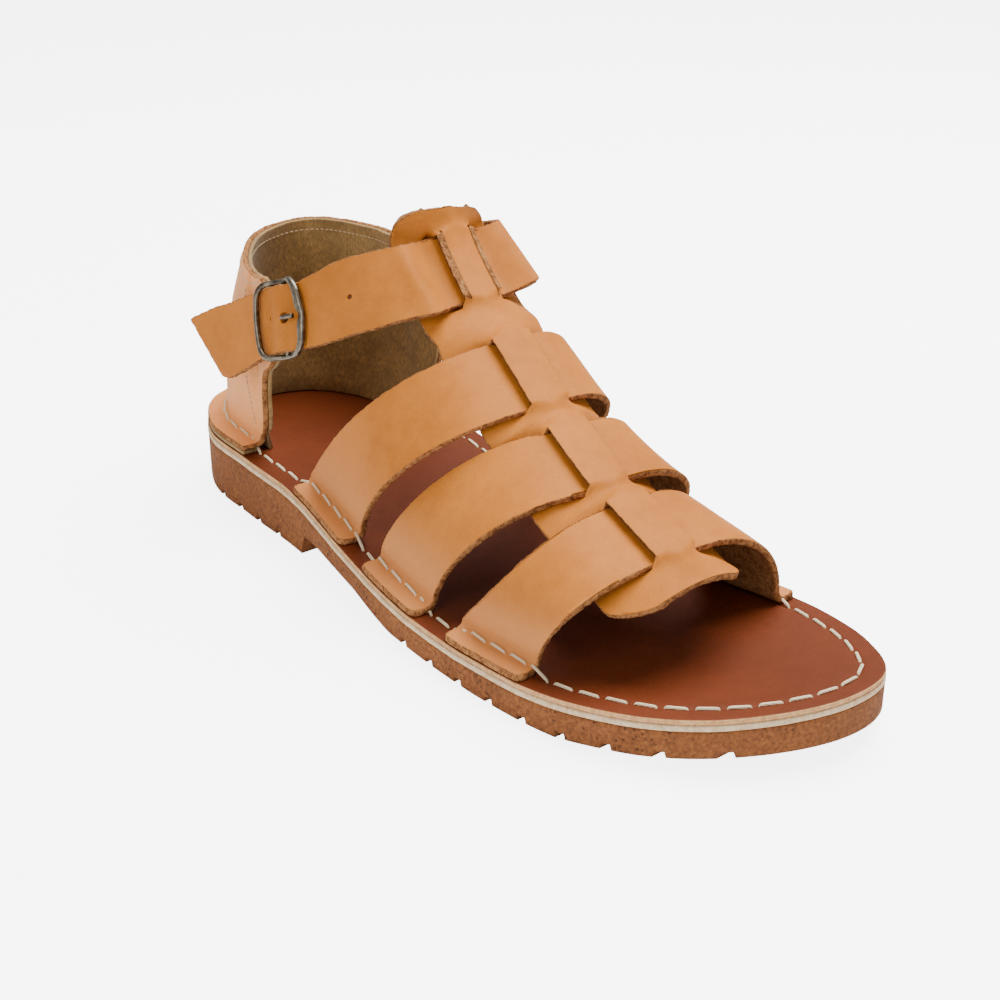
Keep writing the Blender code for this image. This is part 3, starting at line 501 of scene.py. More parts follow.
def make_footbed():
    low = lambda s: shelf(s) + 1.5 * GAP + SOLE_LEATHER
    depth = lambda drop: (lambda s: footbed_top(s) - drop)
    rings = [inner_loop(INNER_INSET, BACK_SHARE, low), sole_loop(BACK_INSET, low),
             sole_loop(0.45 * MM, low)]
    cut = [1.0, 1.0, 1.0]
    for inset, wall_share, channel_share, bare in FOOTBED_EDGE:
        rings.append(sole_loop(inset * MM, depth(wall_share * SOLE_LEATHER + channel_share * CHANNEL_DEPTH)))
        cut.append(bare)
    rings.append(sole_loop(INNER_INSET, depth(INNER_DROP)))
    cut.append(0.0)
    for share in (0.08, 0.18, 0.30, 0.44, 0.60, 0.78, 0.90, 1.0):
        dish = FOOTBED_DISH * (1 - (1 - share) ** 2)
        rings.append(inner_loop(INNER_INSET, share, depth(dish)))
        cut.append(0.0)
    leather = make_sole_leather("red_brown_footbed_leather", (0.165, 0.031, 0.006), (0.105, 0.019, 0.003),
                                (0.72, 0.42, 0.19), (0.48, 0.24, 0.10), 0.62)
    return make_slab("footbed_leather", rings, cut, leather, "footbed")


make_midsole()
footbed = make_footbed()

# Foot straps
# Three straps of tan cowhide, 2.2 mm thick, each in one length from edge to edge. A strap goes
# through a pair of slits in the instep piece, and turns out at both roots, where it is sewn down.
UPPER_HEIGHT = 114 * MM
SPINE_WIDTH = 45 * MM
BAND_WIDTH = 15.4 * MM
LEATHER = 2.2 * MM
SPINE_RADIUS = 35 * MM
TAB_SLANT = 4.5 * MM
STRAP_SINK = 0.4
# Rows 1 to 8 are the back and front of the four crossings: along, height as a share of
# UPPER_HEIGHT, centre across as a share of BALL_WIDTH, half width as a share of SPINE_WIDTH
SPINE = (
    (0.398, 1.000, 0.103, 0.40),
    (0.4035, 0.930, 0.106, 0.42),
    (0.459, 0.789, 0.093, 0.43),
    (0.512, 0.712, 0.076, 0.45),
    (0.588, 0.592, 0.050, 0.46),
    (0.617, 0.551, 0.042, 0.47),
    (0.694, 0.465, 0.014, 0.49),
    (0.721, 0.445, 0.006, 0.50),
    (0.810, 0.393, -0.040, 0.52),
    (0.847, 0.352, -0.035, 0.51),
)
SPINE_CURVE = smooth_curve(SPINE, 24)
# Across the cut edge, from face to back: depth as a share of the wall, outward in the wall
CUT_EDGE = ((0.08, 0.05), (0.22, 0.11), (0.40, 0.13), (0.60, 0.13), (0.78, 0.11), (0.93, 0.06))


def row_value(curve, position, steps=24):
    marks = np.arange(len(curve)) / steps
    return np.array([np.interp(position, marks, curve[:, k]) for k in range(curve.shape[1])])


def spine_centre(position):
    along, height, across, half = row_value(SPINE_CURVE, position)
    return place(across * BALL_WIDTH, along * SOLE_LENGTH, height * UPPER_HEIGHT), half * SPINE_WIDTH


def spine_point(position, across, rise=0.0):
    """A point on the arched face of the instep piece, raised along the face's normal."""
    last = len(SPINE) - 1
    if across > 0 and position < 1:
        slant = TAB_SLANT / spine_row_length(0.5) * across / spine_centre(position)[1]
        position += slant * (1 - position)
    forward = spine_centre(min(position + 0.25, last))[0] - spine_centre(max(position - 0.25, 0))[0]
    normal = unit(np.array((0, forward[2], -forward[1])))
    drop = SPINE_RADIUS - math.sqrt(SPINE_RADIUS ** 2 - across ** 2)
    return spine_centre(position)[0] + np.array((across, 0, 0)) + normal * (rise - drop)


def spine_row_length(position):
    low, high = max(position - 0.1, 0), min(position + 0.1, len(SPINE) - 1)
    return np.linalg.norm(spine_centre(high)[0] - spine_centre(low)[0]) / (high - low)


def grid_normals(grid):
    """Unit normals of a grid of points."""
    normal = np.cross(np.gradient(grid, axis=1), np.gradient(grid, axis=0))
    return normal / np.maximum(np.linalg.norm(normal, axis=2), 1e-12)[:, :, None]


def sheet_borders(open_cells):
    """Border edges of the cells that are there: start and end corners as (row, column) steps."""
    padded = np.pad(open_cells, 1)
    rims = []
    for step, start, end in (((-1, 0), (0, 1), (0, 0)), ((0, 1), (1, 1), (0, 1)),
                             ((1, 0), (1, 0), (1, 1)), ((0, -1), (0, 0), (1, 0))):
        near = padded[1 + step[0]:padded.shape[0] - 1 + step[0], 1 + step[1]:padded.shape[1] - 1 + step[1]]
        for r, c in np.argwhere(open_cells & ~near):
            rims.append(((r, c), (r + start[0], c + start[1]), (r + end[0], c + end[1])))
    return rims


def leather_sheet(name, face, wall, material, node, missing=None, fray=0.10, pale_and_sheen=None):
    """A sheet of leather under a grid of face points, with a rounded, slightly frayed cut edge."""
    face = np.asarray(face)
    rows, columns = face.shape[:2]
    normals = grid_normals(face)
    back = face - normals * wall
    there = np.ones((rows - 1, columns - 1), bool) if missing is None else ~missing
    out = np.zeros_like(face)
    rims = sheet_borders(there)
    for (r, c), start, end in rims:
        centre = (face[r, c] + face[r + 1, c] + face[r, c + 1] + face[r + 1, c + 1]) / 4
        run = unit(face[end] - face[start] + 1e-12)
        away = (face[start] + face[end]) / 2 - centre
        away = unit(away - run * np.dot(run, away) + 1e-12)
        out[start] += away
        out[end] += away
    border = np.argwhere(np.linalg.norm(out, axis=2) > 1e-6)
    order = {tuple(spot): k for k, spot in enumerate(border)}
    at = tuple(border.T)
    push = out[at] / np.linalg.norm(out[at], axis=1)[:, None]
    face_out, back_out = face.copy(), back.copy()
    face_out[at] -= push * 0.12 * wall
    back_out[at] -= push * 0.05 * wall
    shift = rows * columns
    points = [face_out.reshape(-1, 3), back_out.reshape(-1, 3)]
    for depth, reach in CUT_EDGE:
        ring = face[at] - normals[at] * wall * depth + push * wall * reach
        rough = soft_noise(ring, 0.8 * MM, 5) + 0.7 * soft_noise(ring, 2.6 * MM, 6)
        points.append(ring + push * (rough * fray * wall)[:, None])
    faces = []
    for r, c in np.argwhere(there):
        a = int(r * columns + c)
        b, d, e = a + 1, a + columns, a + columns + 1
        faces.append((a, b, e, d))
        faces.append((a + shift, d + shift, e + shift, b + shift))
    size = len(border)
    for _, start, end in rims:
        first = [int(start[0] * columns + start[1])]
        last = [int(end[0] * columns + end[1])]
        for level in range(len(CUT_EDGE)):
            first.append(2 * shift + level * size + order[tuple(start)])
            last.append(2 * shift + level * size + order[tuple(end)])
        first.append(first[0] + shift)
        last.append(last[0] + shift)
        faces += [(first[k], last[k], last[k + 1], first[k + 1]) for k in range(len(first) - 1)]
    points = np.concatenate(points)
    cut = np.zeros(len(points))
    cut[2 * shift:] = 1
    flesh = np.zeros(len(points))
    flesh[shift:2 * shift] = 1
    # Per-point paler colour on the face; on the foot straps it is partly the hide's own tone, partly painted
    # sheen.
    tone = np.zeros(len(points))
    if pale_and_sheen is not None:
        tone[:shift] = np.asarray(pale_and_sheen).reshape(-1)
    used = np.zeros(len(points), bool)
    used[np.concatenate([np.array(f) for f in faces])] = True
    number = np.cumsum(used) - 1
    faces = [tuple(number[list(f)].tolist()) for f in faces]
    marks = (("cut", cut[used]), ("flesh", flesh[used]), ("pale_and_sheen", tone[used]))
    return make_piece(name, points[used], faces, material, node, marks)


def spread(length, step, edge=0.35 * MM):
    """Shares of a length, about a step apart and closer at both ends."""
    inner = np.linspace(1.1 * MM, length - 1.1 * MM, max(int(length / step), 3))
    return np.concatenate(([0, edge], inner, [length - edge, length])) / length


def make_cowhide(name, light, deep, pale_and_sheen_colour):
    """Tan grain on the face, matted suede on the back, raw fibre on cut edges, and a paler colour mixed in by
    a mark: partly the hide's own tone, partly painted sheen.
    """
    material, tree, shader = start_material(name, 0.56)
    shader.inputs["Specular IOR Level"].default_value = 0.1
    body = grouped(tree, MOTTLE, (("Light", light), ("Deep", deep), ("Size", 22.0), ("Contrast", 1.5)))
    grain = grouped(tree, GRAIN, (("Size", 1500.0), ("Pores", 0.6)))
    fibre = grouped(tree, FIBRE, (("Size", 1300.0),))
    marks = {m: add(tree, "ShaderNodeAttribute", attribute_name=m).outputs["Fac"]
             for m in ("cut", "flesh", "pale_and_sheen")}
    toned = mixed(tree, ramped(tree, grain.outputs["Tone"], 0.15, 0.6), deep, body.outputs["Color"])
    # Paler, pinker colour mixed in near the strap roots and on the flanges: partly the hide's own tone,
    # partly painted sheen.
    with_pale_and_sheen = mixed(tree, marks["pale_and_sheen"], toned, pale_and_sheen_colour)
    suede = mixed(tree, fibre.outputs["Tone"], (0.14, 0.055, 0.018), (0.30, 0.135, 0.050))
    raw = mixed(tree, fibre.outputs["Tone"], (0.11, 0.036, 0.011), (0.42, 0.185, 0.065))
    cut = ramped(tree, marks["cut"], 0.25, 0.75)
    flesh = ramped(tree, marks["flesh"], 0.3, 0.8)
    colour = mixed(tree, cut, mixed(tree, flesh, with_pale_and_sheen, suede), raw)
    tree.links.new(colour, shader.inputs["Base Color"])
    bare = mathed(tree, "MAXIMUM", cut, flesh)
    tree.links.new(mathed(tree, "MULTIPLY_ADD", bare, 0.35, 0.56), shader.inputs["Roughness"])
    height = mathed(tree, "MULTIPLY_ADD", mathed(tree, "MULTIPLY", fibre.outputs["Height"], bare), 4.0,
                    grain.outputs["Height"])
    bumped(tree, shader, height, 0.09 * MM)
    return material


# The third colour is the paler root colour: partly the hide's own tone, partly painted sheen.
TAN_HIDE = make_cowhide("tan_cowhide", (0.545, 0.182, 0.026), (0.415, 0.127, 0.014), (0.62, 0.26, 0.09))


CREASE_INSET = 7.6 * MM
FLANGE_EDGE = 0.6 * MM
FLANGE_CORNER = 2.2 * MM
ROOT_FILLET = 2.4 * MM
ROOT_WIDTH = 32 * MM
CROSSING_LENGTH = 26 * MM
MESH_STEP = 0.9 * MM
STRAP_POINTS = 130
# Paler colour on the foot straps near their roots and on their flanges, and how far up it reaches: partly the
# hide's own tone, partly painted sheen.
ROOT_PALE_AND_SHEEN = 0.7
FLANGE_PALE_AND_SHEEN = 0.6
PALE_AND_SHEEN_REACH = 16 * MM
# Row of SPINE at the back of the crossing, then for each side the strap's back and front edge:
# root along the sole, fullness of the arch, swell as a share of BALL_WIDTH, and trail
FOOT_STRAPS = (
    ("rear_foot_strap", 3, (0.305, 2.2, 0.105, 1.00), (0.435, 2.0, 0.100, 0.85),
     (0.376, 2.4, 0.092, 1.20), (0.474, 2.3, 0.113, 1.20)),
    ("middle_foot_strap", 5, (0.484, 1.6, 0.040, 0.62), (0.593, 1.9, 0.030, 0.62),
     (0.498, 2.2, 0.099, 1.60), (0.642, 2.2, 0.095, 1.60)),
    ("front_foot_strap", 7, (0.644, 2.1, 0.045, 1.60), (0.756, 2.1, 0.042, 1.00),
     (0.695, 2.2, 0.010, 1.60), (0.811, 2.2, 0.000, 1.00)),
)
# Creases across a strap above its root: height above the crease, depth, width, how wavy, in mm
ROOT_CREASES = ((1.6, 0.16, 0.40, 0.5), (3.1, 0.12, 0.35, 0.7), (4.9, 0.14, 0.45, 0.9),
                (7.2, 0.09, 0.40, 1.1), (10.3, 0.07, 0.50, 1.4), (14.0, 0.05, 0.60, 1.6))


def rim(side, along, inset):
    """A point of the sole's edge, moved in, and the direction out: both (along, across)."""
    picks = SIDE_PICKS[side]
    edge, out = EDGE[picks], EDGE_OUT[picks]
    moved = edge - out * inset
    point = np.array([np.interp(along, edge[:, 0], moved[:, k]) for k in range(2)])
    direction = np.array([np.interp(along, edge[:, 0], out[:, k]) for k in range(2)])
    return point, unit(direction)


def root_points(side, along, width, lift=LEATHER):
    """From the standing wall's foot, round the fillet and out along the flange."""
    foot, out = rim(side, along, CREASE_INSET)

    def at(distance, height):
        spot = foot + out * distance
        return place(spot[1], spot[0], footbed_top(spot[0]) + 0.4 * GAP + lift + height)

    turn = np.linspace(0, math.pi / 2, 9)
    fillet = [at(ROOT_FILLET * (1 - math.cos(a)), ROOT_FILLET * (1 - math.sin(a))) for a in turn]
    return fillet + [at(d, 0) for d in np.linspace(ROOT_FILLET, width, 9)[1:]]


def arch(start, end, fullness, swell, trail):
    """Points from a level start down to an upright end, on a swollen superellipse."""
    angle = np.linspace(0, math.pi / 2, 181)
    reach = np.sin(angle) ** (2 / fullness)
    fall = 1 - np.abs(np.cos(angle)) ** (2 / fullness)
    fall[-1] = 1
    outward = math.copysign(swell, end[0] - start[0]) * np.sin(2 * angle)
    return np.stack((start[0] + (end[0] - start[0]) * reach + outward,
                     start[1] + (end[1] - start[1]) * fall ** trail,
                     start[2] + (end[2] - start[2]) * fall), axis=1)


def evenly(points, count):
    """The same path through points an equal distance apart."""
    marks = np.r_[0, np.cumsum(np.linalg.norm(np.diff(points, axis=0), axis=1))]
    spots = np.linspace(0, marks[-1], count)
    return np.stack([np.interp(spots, marks, points[:, k]) for k in range(3)], axis=1)


def crease_depth(height, points, seed):
    """Depth of the root's creases at heights above it; each one wavers and fades in places."""
    total = np.zeros(height.shape)
    for index, (level, depth, width, wave) in enumerate(ROOT_CREASES):
        shift = soft_noise(points, 7 * MM, seed + index) * wave * MM
        keep = np.clip(0.6 + soft_noise(points, 5 * MM, seed + 20 + index), 0, 1)
        total += keep * depth * MM * np.exp(-(((height - level * MM - shift) / (width * MM)) ** 2))
    return total


def make_foot_strap(name, row, *edges):
    """A strap from one root up through the weave and down to the other root."""
    band = BAND_WIDTH / 2
    width = CREASE_INSET - FLANGE_EDGE
    grid, heights = [], []
    shares = spread(CROSSING_LENGTH, MESH_STEP)
    for share in shares:
        sides, rises = [], []
        corner = min(share, 1 - share) * ROOT_WIDTH
        cut = max(FLANGE_CORNER - corner, 0)
        flange = width - FLANGE_CORNER + math.sqrt(max(FLANGE_CORNER ** 2 - cut ** 2, 0))
        for side, back, front in ((-1, edges[0], edges[1]), (1, edges[2], edges[3])):
            root, fullness, swell, trail = np.array(back) + (np.array(front) - back) * share
            slit = spine_point(row + share, side * band, -STRAP_SINK * LEATHER)
            turn = root_points(side, root * SOLE_LENGTH, flange)
            curve = evenly(arch(slit, turn[0], fullness, swell * BALL_WIDTH, trail), STRAP_POINTS)
            length = np.linalg.norm(np.diff(curve, axis=0), axis=1).sum()
            sides.append(np.concatenate((curve, turn[1:])))
            rises.append(np.r_[length * np.linspace(1, 0, STRAP_POINTS), np.zeros(len(turn) - 1)])
        middle = [spine_point(row + share, a, -STRAP_SINK * LEATHER * (1 + 0.5 * (1 - (a / band) ** 2)))
                  for a in np.linspace(-band, band, 11)[1:-1]]
        grid.append(np.concatenate((sides[0][::-1], middle, sides[1])))
        heights.append(np.r_[rises[0][::-1], np.full(len(middle), 1.0), rises[1]])
    grid, heights = np.swapaxes(np.array(grid), 0, 1), np.array(heights).T
    grid = grid - grid_normals(grid) * crease_depth(heights, grid, row)[:, :, None]
    # Paler near the roots and on the flanges: partly the hide's own tone, partly painted sheen.
    root_pale_and_sheen = ROOT_PALE_AND_SHEEN * np.exp(-(heights / PALE_AND_SHEEN_REACH) ** 2)
    pale_and_sheen = np.where(heights > 0, root_pale_and_sheen, FLANGE_PALE_AND_SHEEN)
    return leather_sheet(name, grid, LEATHER, TAN_HIDE, "upper", pale_and_sheen=pale_and_sheen)


straps = [make_foot_strap(*row) for row in FOOT_STRAPS]

# Ankle strap
# One strap from the quarter's inner end, through the top pair of slits and round to its free
# end on the outer side. It runs under, over and under the buckle's bars, and the prong holds it.
HEEL_WIDTH = 0.711 * BALL_WIDTH
ANKLE_STRAP_WIDTH = 24 * MM
PINCHED_WIDTH = 20.8 * MM
PINCH_ROWS = 2.5
STRAP_LIFT = 2.0 * MM
STRAP_OVERLAP = 11 * MM
COLLAR_HEIGHT = 87 * MM
QUARTER_LEATHER = 3.4 * MM
PRONG_REACH = 3.0 * MM
# Middle of the strap's face: along, across as a share of HEEL_WIDTH, height as a share of
# UPPER_HEIGHT; then the lean of its width: across, along, up
STRAP_LATERAL = (
    (0.435, -0.150, 0.853, -0.04, 0.70, 0.71),
    (0.413, -0.283, 0.833, 0.04, 0.70, 0.71),
    (0.376, -0.400, 0.789, 0.08, 0.60, 0.80),
    (0.323, -0.471, 0.720, 0.17, 0.40, 0.90),
    (0.291, -0.493, 0.690, 0.20, 0.38, 0.90),
    (0.260, -0.514, 0.659, 0.20, 0.38, 0.90),
    (0.210, -0.543, 0.590, 0.17, 0.42, 0.89),
    (0.151, -0.580, 0.521, 0.00, 0.78, 0.62),
)
BUCKLE_ROW = 4
STRAP_MEDIAL = (
    (0.428, 0.450, 0.864, -0.05, 0.78, 0.62),
    (0.369, 0.514, 0.812, 0.02, 0.72, 0.69),
    (0.323, 0.514, 0.763, 0.00, 0.62, 0.78),
    (0.284, 0.500, 0.713, 0.00, 0.60, 0.80),
)
# The quarter's inner end, on its face: lower and upper corner, as in its own table
QUARTER_END = ((0.280, 0.510, 0.758), (0.222, 0.523, 0.982))
STRAP_CURVES = {"lateral": smooth_curve(STRAP_LATERAL, 24), "medial": smooth_curve(STRAP_MEDIAL, 24)}
# Awl holes: distance from the centre bar towards the instep, across the strap, width, in mm
HOLES = ((3.0, 0.0, 3.4), (22.0, 0.0, 1.7), (-4.5, 0.6, 0.9))


def strap_row(side, position):
    """Middle of the ankle strap's face and the direction of its width, up the leg."""
    along, across, up, *lean = row_value(STRAP_CURVES[side], position)
    return place(across * HEEL_WIDTH, along * SOLE_LENGTH, up * UPPER_HEIGHT), unit(np.array(lean))


def lateral_point(position, across, out):
    """A point at a distance across the strap and a distance out from its face."""
    middle, width = strap_row("lateral", position)
    low, high = max(position - 0.1, 0), min(position + 0.1, len(STRAP_LATERAL) - 1)
    run = unit(strap_row("lateral", high)[0] - strap_row("lateral", low)[0])
    return middle + width * across + unit(np.cross(width, run)) * out


def buckle_point(forward, across, out):
    """A point given from the centre bar: towards the free end, up the leg, off the strap."""
    middle = [strap_row("lateral", BUCKLE_ROW + k)[0] for k in (-1, 0, 1)]
    back = np.linalg.norm(middle[1] - middle[0])
    front = np.linalg.norm(middle[2] - middle[1])
    return lateral_point(BUCKLE_ROW + forward / (front if forward > 0 else back), across, out)


def strap_half(position):
    """Half the strap's width; the buckle's frame pinches it."""
    share = min(max(PINCH_ROWS - abs(position - BUCKLE_ROW), 0) / (PINCH_ROWS - 1), 1)
    return (ANKLE_STRAP_WIDTH + (PINCHED_WIDTH - ANKLE_STRAP_WIDTH) * share) / 2


def strap_lift(position):
    distance = abs(position - BUCKLE_ROW)
    return STRAP_LIFT * math.cos(math.pi / 2 * distance) ** 2 if distance < 1 else 0.0


def quarter_place(shares):
    along, across, up = shares
    return place(across * HEEL_WIDTH, along * SOLE_LENGTH, up * COLLAR_HEIGHT)


def ankle_path(share):
    """The strap's path at a share of its width, from the upper edge to the lower one."""
    half, band = ANKLE_STRAP_WIDTH / 2, BAND_WIDTH * 0.45
    last = len(STRAP_LATERAL) - 1
    across = half * (1 - 2 * share)
    path = [lateral_point(p, strap_half(p) * (1 - 2 * share), strap_lift(p))
            for p in (last, last - 0.5, last - 1, last - 1.5, 5, 4.75, 4.5, 4.25, 4, 3.75, 3.5, 3.25, 3,
                      2.5, 2, 1.5, 1, 0.5, 0)]
    path += [spine_point(1 + share, a, -STRAP_SINK * LEATHER * (1.5 if a == 0 else 1))
             for a in (-BAND_WIDTH * 0.7, -band, 0, band, BAND_WIDTH * 0.7)]
    for position in (0, 0.5, 1, 1.5, 2, 2.5, 3):
        middle, width = strap_row("medial", position)
        path.append(middle + width * across)
    low, high = (quarter_place(point) for point in QUARTER_END)
    for reach in (-2 * MM, STRAP_OVERLAP / 2, STRAP_OVERLAP):
        path.append(high + (low - high) * (0.04 + 0.92 * share)
                    + np.array((-QUARTER_LEATHER - 3 * GAP, 0, 0)) + np.array((-0.03, 1.0, 0)) * reach)
    return smooth_curve(path, 9)


def rod_points(start, end, radius, sides):
    axis = unit(end - start)
    first = unit(np.cross(axis, (0.1, 0.2, 1.0)))
    second = np.cross(axis, first)
    turn = np.arange(sides) * 2 * math.pi / sides
    circle = radius * (np.cos(turn)[:, None] * first + np.sin(turn)[:, None] * second)
    return np.concatenate((start + circle, end + circle))


def punch(item, holes, depth, sides=20):
    """Cuts round holes through a piece and keeps the result as its mesh."""
    cutters = []
    for forward, across, width in holes:
        start, end = (buckle_point(-forward * MM, across * MM, out) for out in (-depth, depth))
        mesh = bpy.data.meshes.new("punch")
        caps = [tuple(range(sides))[::-1], tuple(range(sides, 2 * sides))]
        rod = rod_points(start, end, width * MM / 2, sides)
        mesh.from_pydata(rod.tolist(), [], ring_faces(2, sides) + caps)
        cutter = bpy.data.objects.new("punch", mesh)
        bpy.context.scene.collection.objects.link(cutter)
        modifier = item.modifiers.new("punch", "BOOLEAN")
        modifier.operation, modifier.object, modifier.solver = "DIFFERENCE", cutter, "EXACT"
        cutters.append(cutter)
    graph = bpy.context.evaluated_depsgraph_get()
    cut = bpy.data.meshes.new_from_object(item.evaluated_get(graph))
    item.modifiers.clear()
    item.data = cut
    for cutter in cutters:
        bpy.data.objects.remove(cutter)


def make_ankle_strap():
    grid = np.swapaxes(np.array([ankle_path(s) for s in spread(ANKLE_STRAP_WIDTH, MESH_STEP)]), 0, 1)
    strap = leather_sheet("ankle_strap", grid, LEATHER, TAN_HIDE, "upper")
    punch(strap, HOLES, 5 * MM)
    return strap


straps.append(make_ankle_strap())

# Instep piece
# One length of the same hide down the instep with four pairs of slits. The band between each
# pair stands over a strap, and the margins outside it go under the strap.
SPINE_CORNER = 9 * MM
BAND_RISE = 0.85
MARGIN_SINK = 1.25
BAND_RAMP = 16 * MM
MARGIN_RAMP = 18 * MM
SLIT = 0.35 * MM
CROSSING_ROWS = (1, 3, 5, 7)
EASE_AFTER_SLIT = 4
PROBE_HEIGHT = 9 * MM
PROBE_REACH = 12 * MM
TUCK_PLAY = 0.12 * MM
TUCK_LIMIT = 3.5 * MM
TUCK_PASSES = 14


def spine_half(position):
    """Half width, rounded at both ends."""
    half = spine_centre(position)[1]
    last = len(SPINE) - 1
    end = min(position * spine_row_length(0.3), (last - position) * spine_row_length(last - 0.4))
    if end < SPINE_CORNER:
        half += math.sqrt(max(SPINE_CORNER ** 2 - (SPINE_CORNER - end) ** 2, 0)) - SPINE_CORNER
    return half


def beyond_crossing(position):
    """Distance from a place on the instep piece to the nearest crossing."""
    gaps = [max(row - position, position - row - 1, 0) for row in CROSSING_ROWS]
    return min(gaps) * spine_row_length(position)


def eased(share):
    share = min(max(share, 0), 1)
    return share * share * (3 - 2 * share)


def spine_rise(position, across):
    """Height over the plain face: bands up and margins down where a strap crosses."""
    distance = beyond_crossing(position)
    soft = SLIT + distance * EASE_AFTER_SLIT
    aside = eased((abs(across) - BAND_WIDTH / 2 + soft) / (2 * soft))
    up = BAND_RISE * eased(1 - distance / BAND_RAMP) * (1 - aside)
    down = MARGIN_SINK * eased(1 - distance / MARGIN_RAMP) * aside
    return LEATHER * (up - down)


def surface_tree(items):
    points, polygons = [], []
    for item in items:
        base = len(points)
        points += [tuple(v.co) for v in item.data.vertices]
        polygons += [tuple(k + base for k in p.vertices) for p in item.data.polygons]
    return BVHTree.FromPolygons(points, polygons)


def tuck_under(grid, across):
    """Presses the margins down wherever a strap lies on them, and eases the dents between."""
    normals = grid_normals(grid)
    push = np.zeros(grid.shape[:2])
    margin = np.abs(across) > BAND_WIDTH / 2
    for strap in straps:
        tree = surface_tree([strap])
        for r, c in np.argwhere(margin):
            start = Vector(grid[r, c] + normals[r, c] * PROBE_HEIGHT)
            hit = tree.ray_cast(start, Vector(-normals[r, c]), PROBE_REACH)
            if hit[0] is not None:
                room = PROBE_HEIGHT - hit[3] - LEATHER - TUCK_PLAY
                push[r, c] = min(push[r, c], max(room, -TUCK_LIMIT))
    pressed = push.copy()
    for _ in range(TUCK_PASSES):
        wide = np.pad(pressed, 1, mode="edge")
        near = (wide[:-2, 1:-1] + wide[2:, 1:-1] + wide[1:-1, :-2] + wide[1:-1, 2:]) / 4
        pressed = np.where(margin, np.minimum(push, near), 0)
    return grid + normals * pressed[:, :, None]


def make_spine():
    last = len(SPINE) - 1
    positions = [float(last)]
    for row in range(last):
        count = max(int(spine_row_length(row + 0.5) / (0.8 * MM)), 3)
        positions += list(row + np.arange(count) / count)
    tip, top = 1 / spine_row_length(last - 0.4), 1 / spine_row_length(0.3)
    positions += [last - tip * d * MM for d in (0.06, 0.2, 0.45)] + [top * d * MM for d in (0.06, 0.2, 0.45)]
    positions = sorted(positions)
    inner = np.concatenate(([-SLIT, SLIT], np.linspace(1.2 * MM, BAND_WIDTH - 1.2 * MM, 14),
                            [BAND_WIDTH - SLIT, BAND_WIDTH + SLIT])) - BAND_WIDTH / 2
    margin = spread(15 * MM, 1.0 * MM)[1:]
    grid, spans = [], []
    for position in positions:
        reach = spine_half(position) - inner[-1]
        beyond = inner[-1] + reach * margin
        across = np.concatenate((-beyond[::-1], inner, beyond))[::-1]
        spans.append(across)
        grid.append([spine_point(position, a, spine_rise(position, a)) for a in across])
    grid, spans = np.array(grid), np.array(spans)
    missing = np.zeros((len(grid) - 1, len(grid[0]) - 1), bool)
    for row in CROSSING_ROWS:
        inside = [k for k in range(len(grid) - 1)
                  if row - 1e-6 <= positions[k] and positions[k + 1] <= row + 1 + 1e-6]
        for column in (len(margin), len(margin) + len(inner) - 2):
            missing[inside, column] = True
    grid = tuck_under(grid, spans)
    return leather_sheet("instep_piece", grid, LEATHER, TAN_HIDE, "upper", missing=missing)


make_spine()

# Heel quarter
# A wall of firmer tan hide, lined with khaki suede, that stands behind the ankle. Its inner end
# covers the ankle strap, its outer end runs under it, and its foot turns out on the footbed.
OUTER_HIDE = 1.9 * MM
LINING = 1.3 * MM
HIDE_PLAY = 0.1 * MM
LINING_PLAY = 0.25 * MM
LINING_FRAY = 0.06
LINING_SLOPE_ROWS = 6
# Columns of the flange, counted from its edge, that have the lining turned out under them
TURNED_COLUMNS = 11
QUARTER_WALL = 70 * MM
QUARTER_BULGE = 3.0 * MM
HEEL_MIDDLE = (1 * MM, 85 * MM)
TAB_MARGIN = 1.2 * MM
TAB_PLAY = 0.7 * MM
TAB_ROWS = (2.45, 2.62, 2.95, 3.4, 3.8, 4.2, 4.6, 4.9)
TAB_SHARES = (0.45, 0.78, 1.0, 1.0, 1.0, 1.0, 1.0, 1.0)
# Foot, as a distance round the edge from the back of the heel (share of SOLE_LENGTH, lateral is
# negative) or a place in the air, and the collar above: along, across, height in shares
QUARTER = (
    ((0.253, -0.484, 0.682), (0.226, -0.438, 0.995)),
    ((0.233, -0.468, 0.635), (0.208, -0.420, 0.985)),
    ((0.2225, -0.456, 0.540), (0.197, -0.405, 0.980)),
    ((0.218, -0.448, 0.420), (0.187, -0.390, 0.975)),
    (-0.256, (0.183, -0.390, 0.982)),
    (-0.236, (0.168, -0.367, 0.980)),
    (-0.206, (0.148, -0.330, 0.978)),
    (-0.175, (0.126, -0.280, 0.976)),
    (-0.143, (0.103, -0.222, 0.974)),
    (-0.110, (0.081, -0.158, 0.974)),
    (-0.077, (0.061, -0.090, 0.975)),
    (-0.044, (0.045, -0.020, 0.977)),
    (-0.014, (0.034, 0.060, 0.980)),
    (0.014, (0.029, 0.145, 0.984)),
    (0.046, (0.030, 0.230, 0.990)),
    (0.082, (0.040, 0.320, 0.996)),
    (0.118, (0.059, 0.395, 1.000)),
    (0.153, (0.087, 0.450, 1.002)),
    (0.186, (0.116, 0.485, 1.002)),
    (0.218, (0.146, 0.508, 1.002)),
    (0.248, (0.172, 0.512, 0.998)),
    (0.266, (0.187, 0.518, 0.994)),
    ((0.248, 0.505, 0.400), (0.197, 0.521, 0.990)),
    ((0.267, 0.504, 0.560), (0.208, 0.523, 0.987)),
    ((0.274, 0.506, 0.680), (0.216, 0.523, 0.984)),
    ((0.280, 0.510, 0.758), (0.222, 0.523, 0.982)),
)


def edge_place(distance):
    """Side and place along of a point at a distance round the edge from the heel's back."""
    side = -1 if distance < 0 else 1
    points = EDGE[SIDE_PICKS[side]]
    steps = np.linalg.norm(np.diff(points, axis=0), axis=1)
    return side, np.interp(abs(distance), np.r_[0, np.cumsum(steps)], points[:, 0])


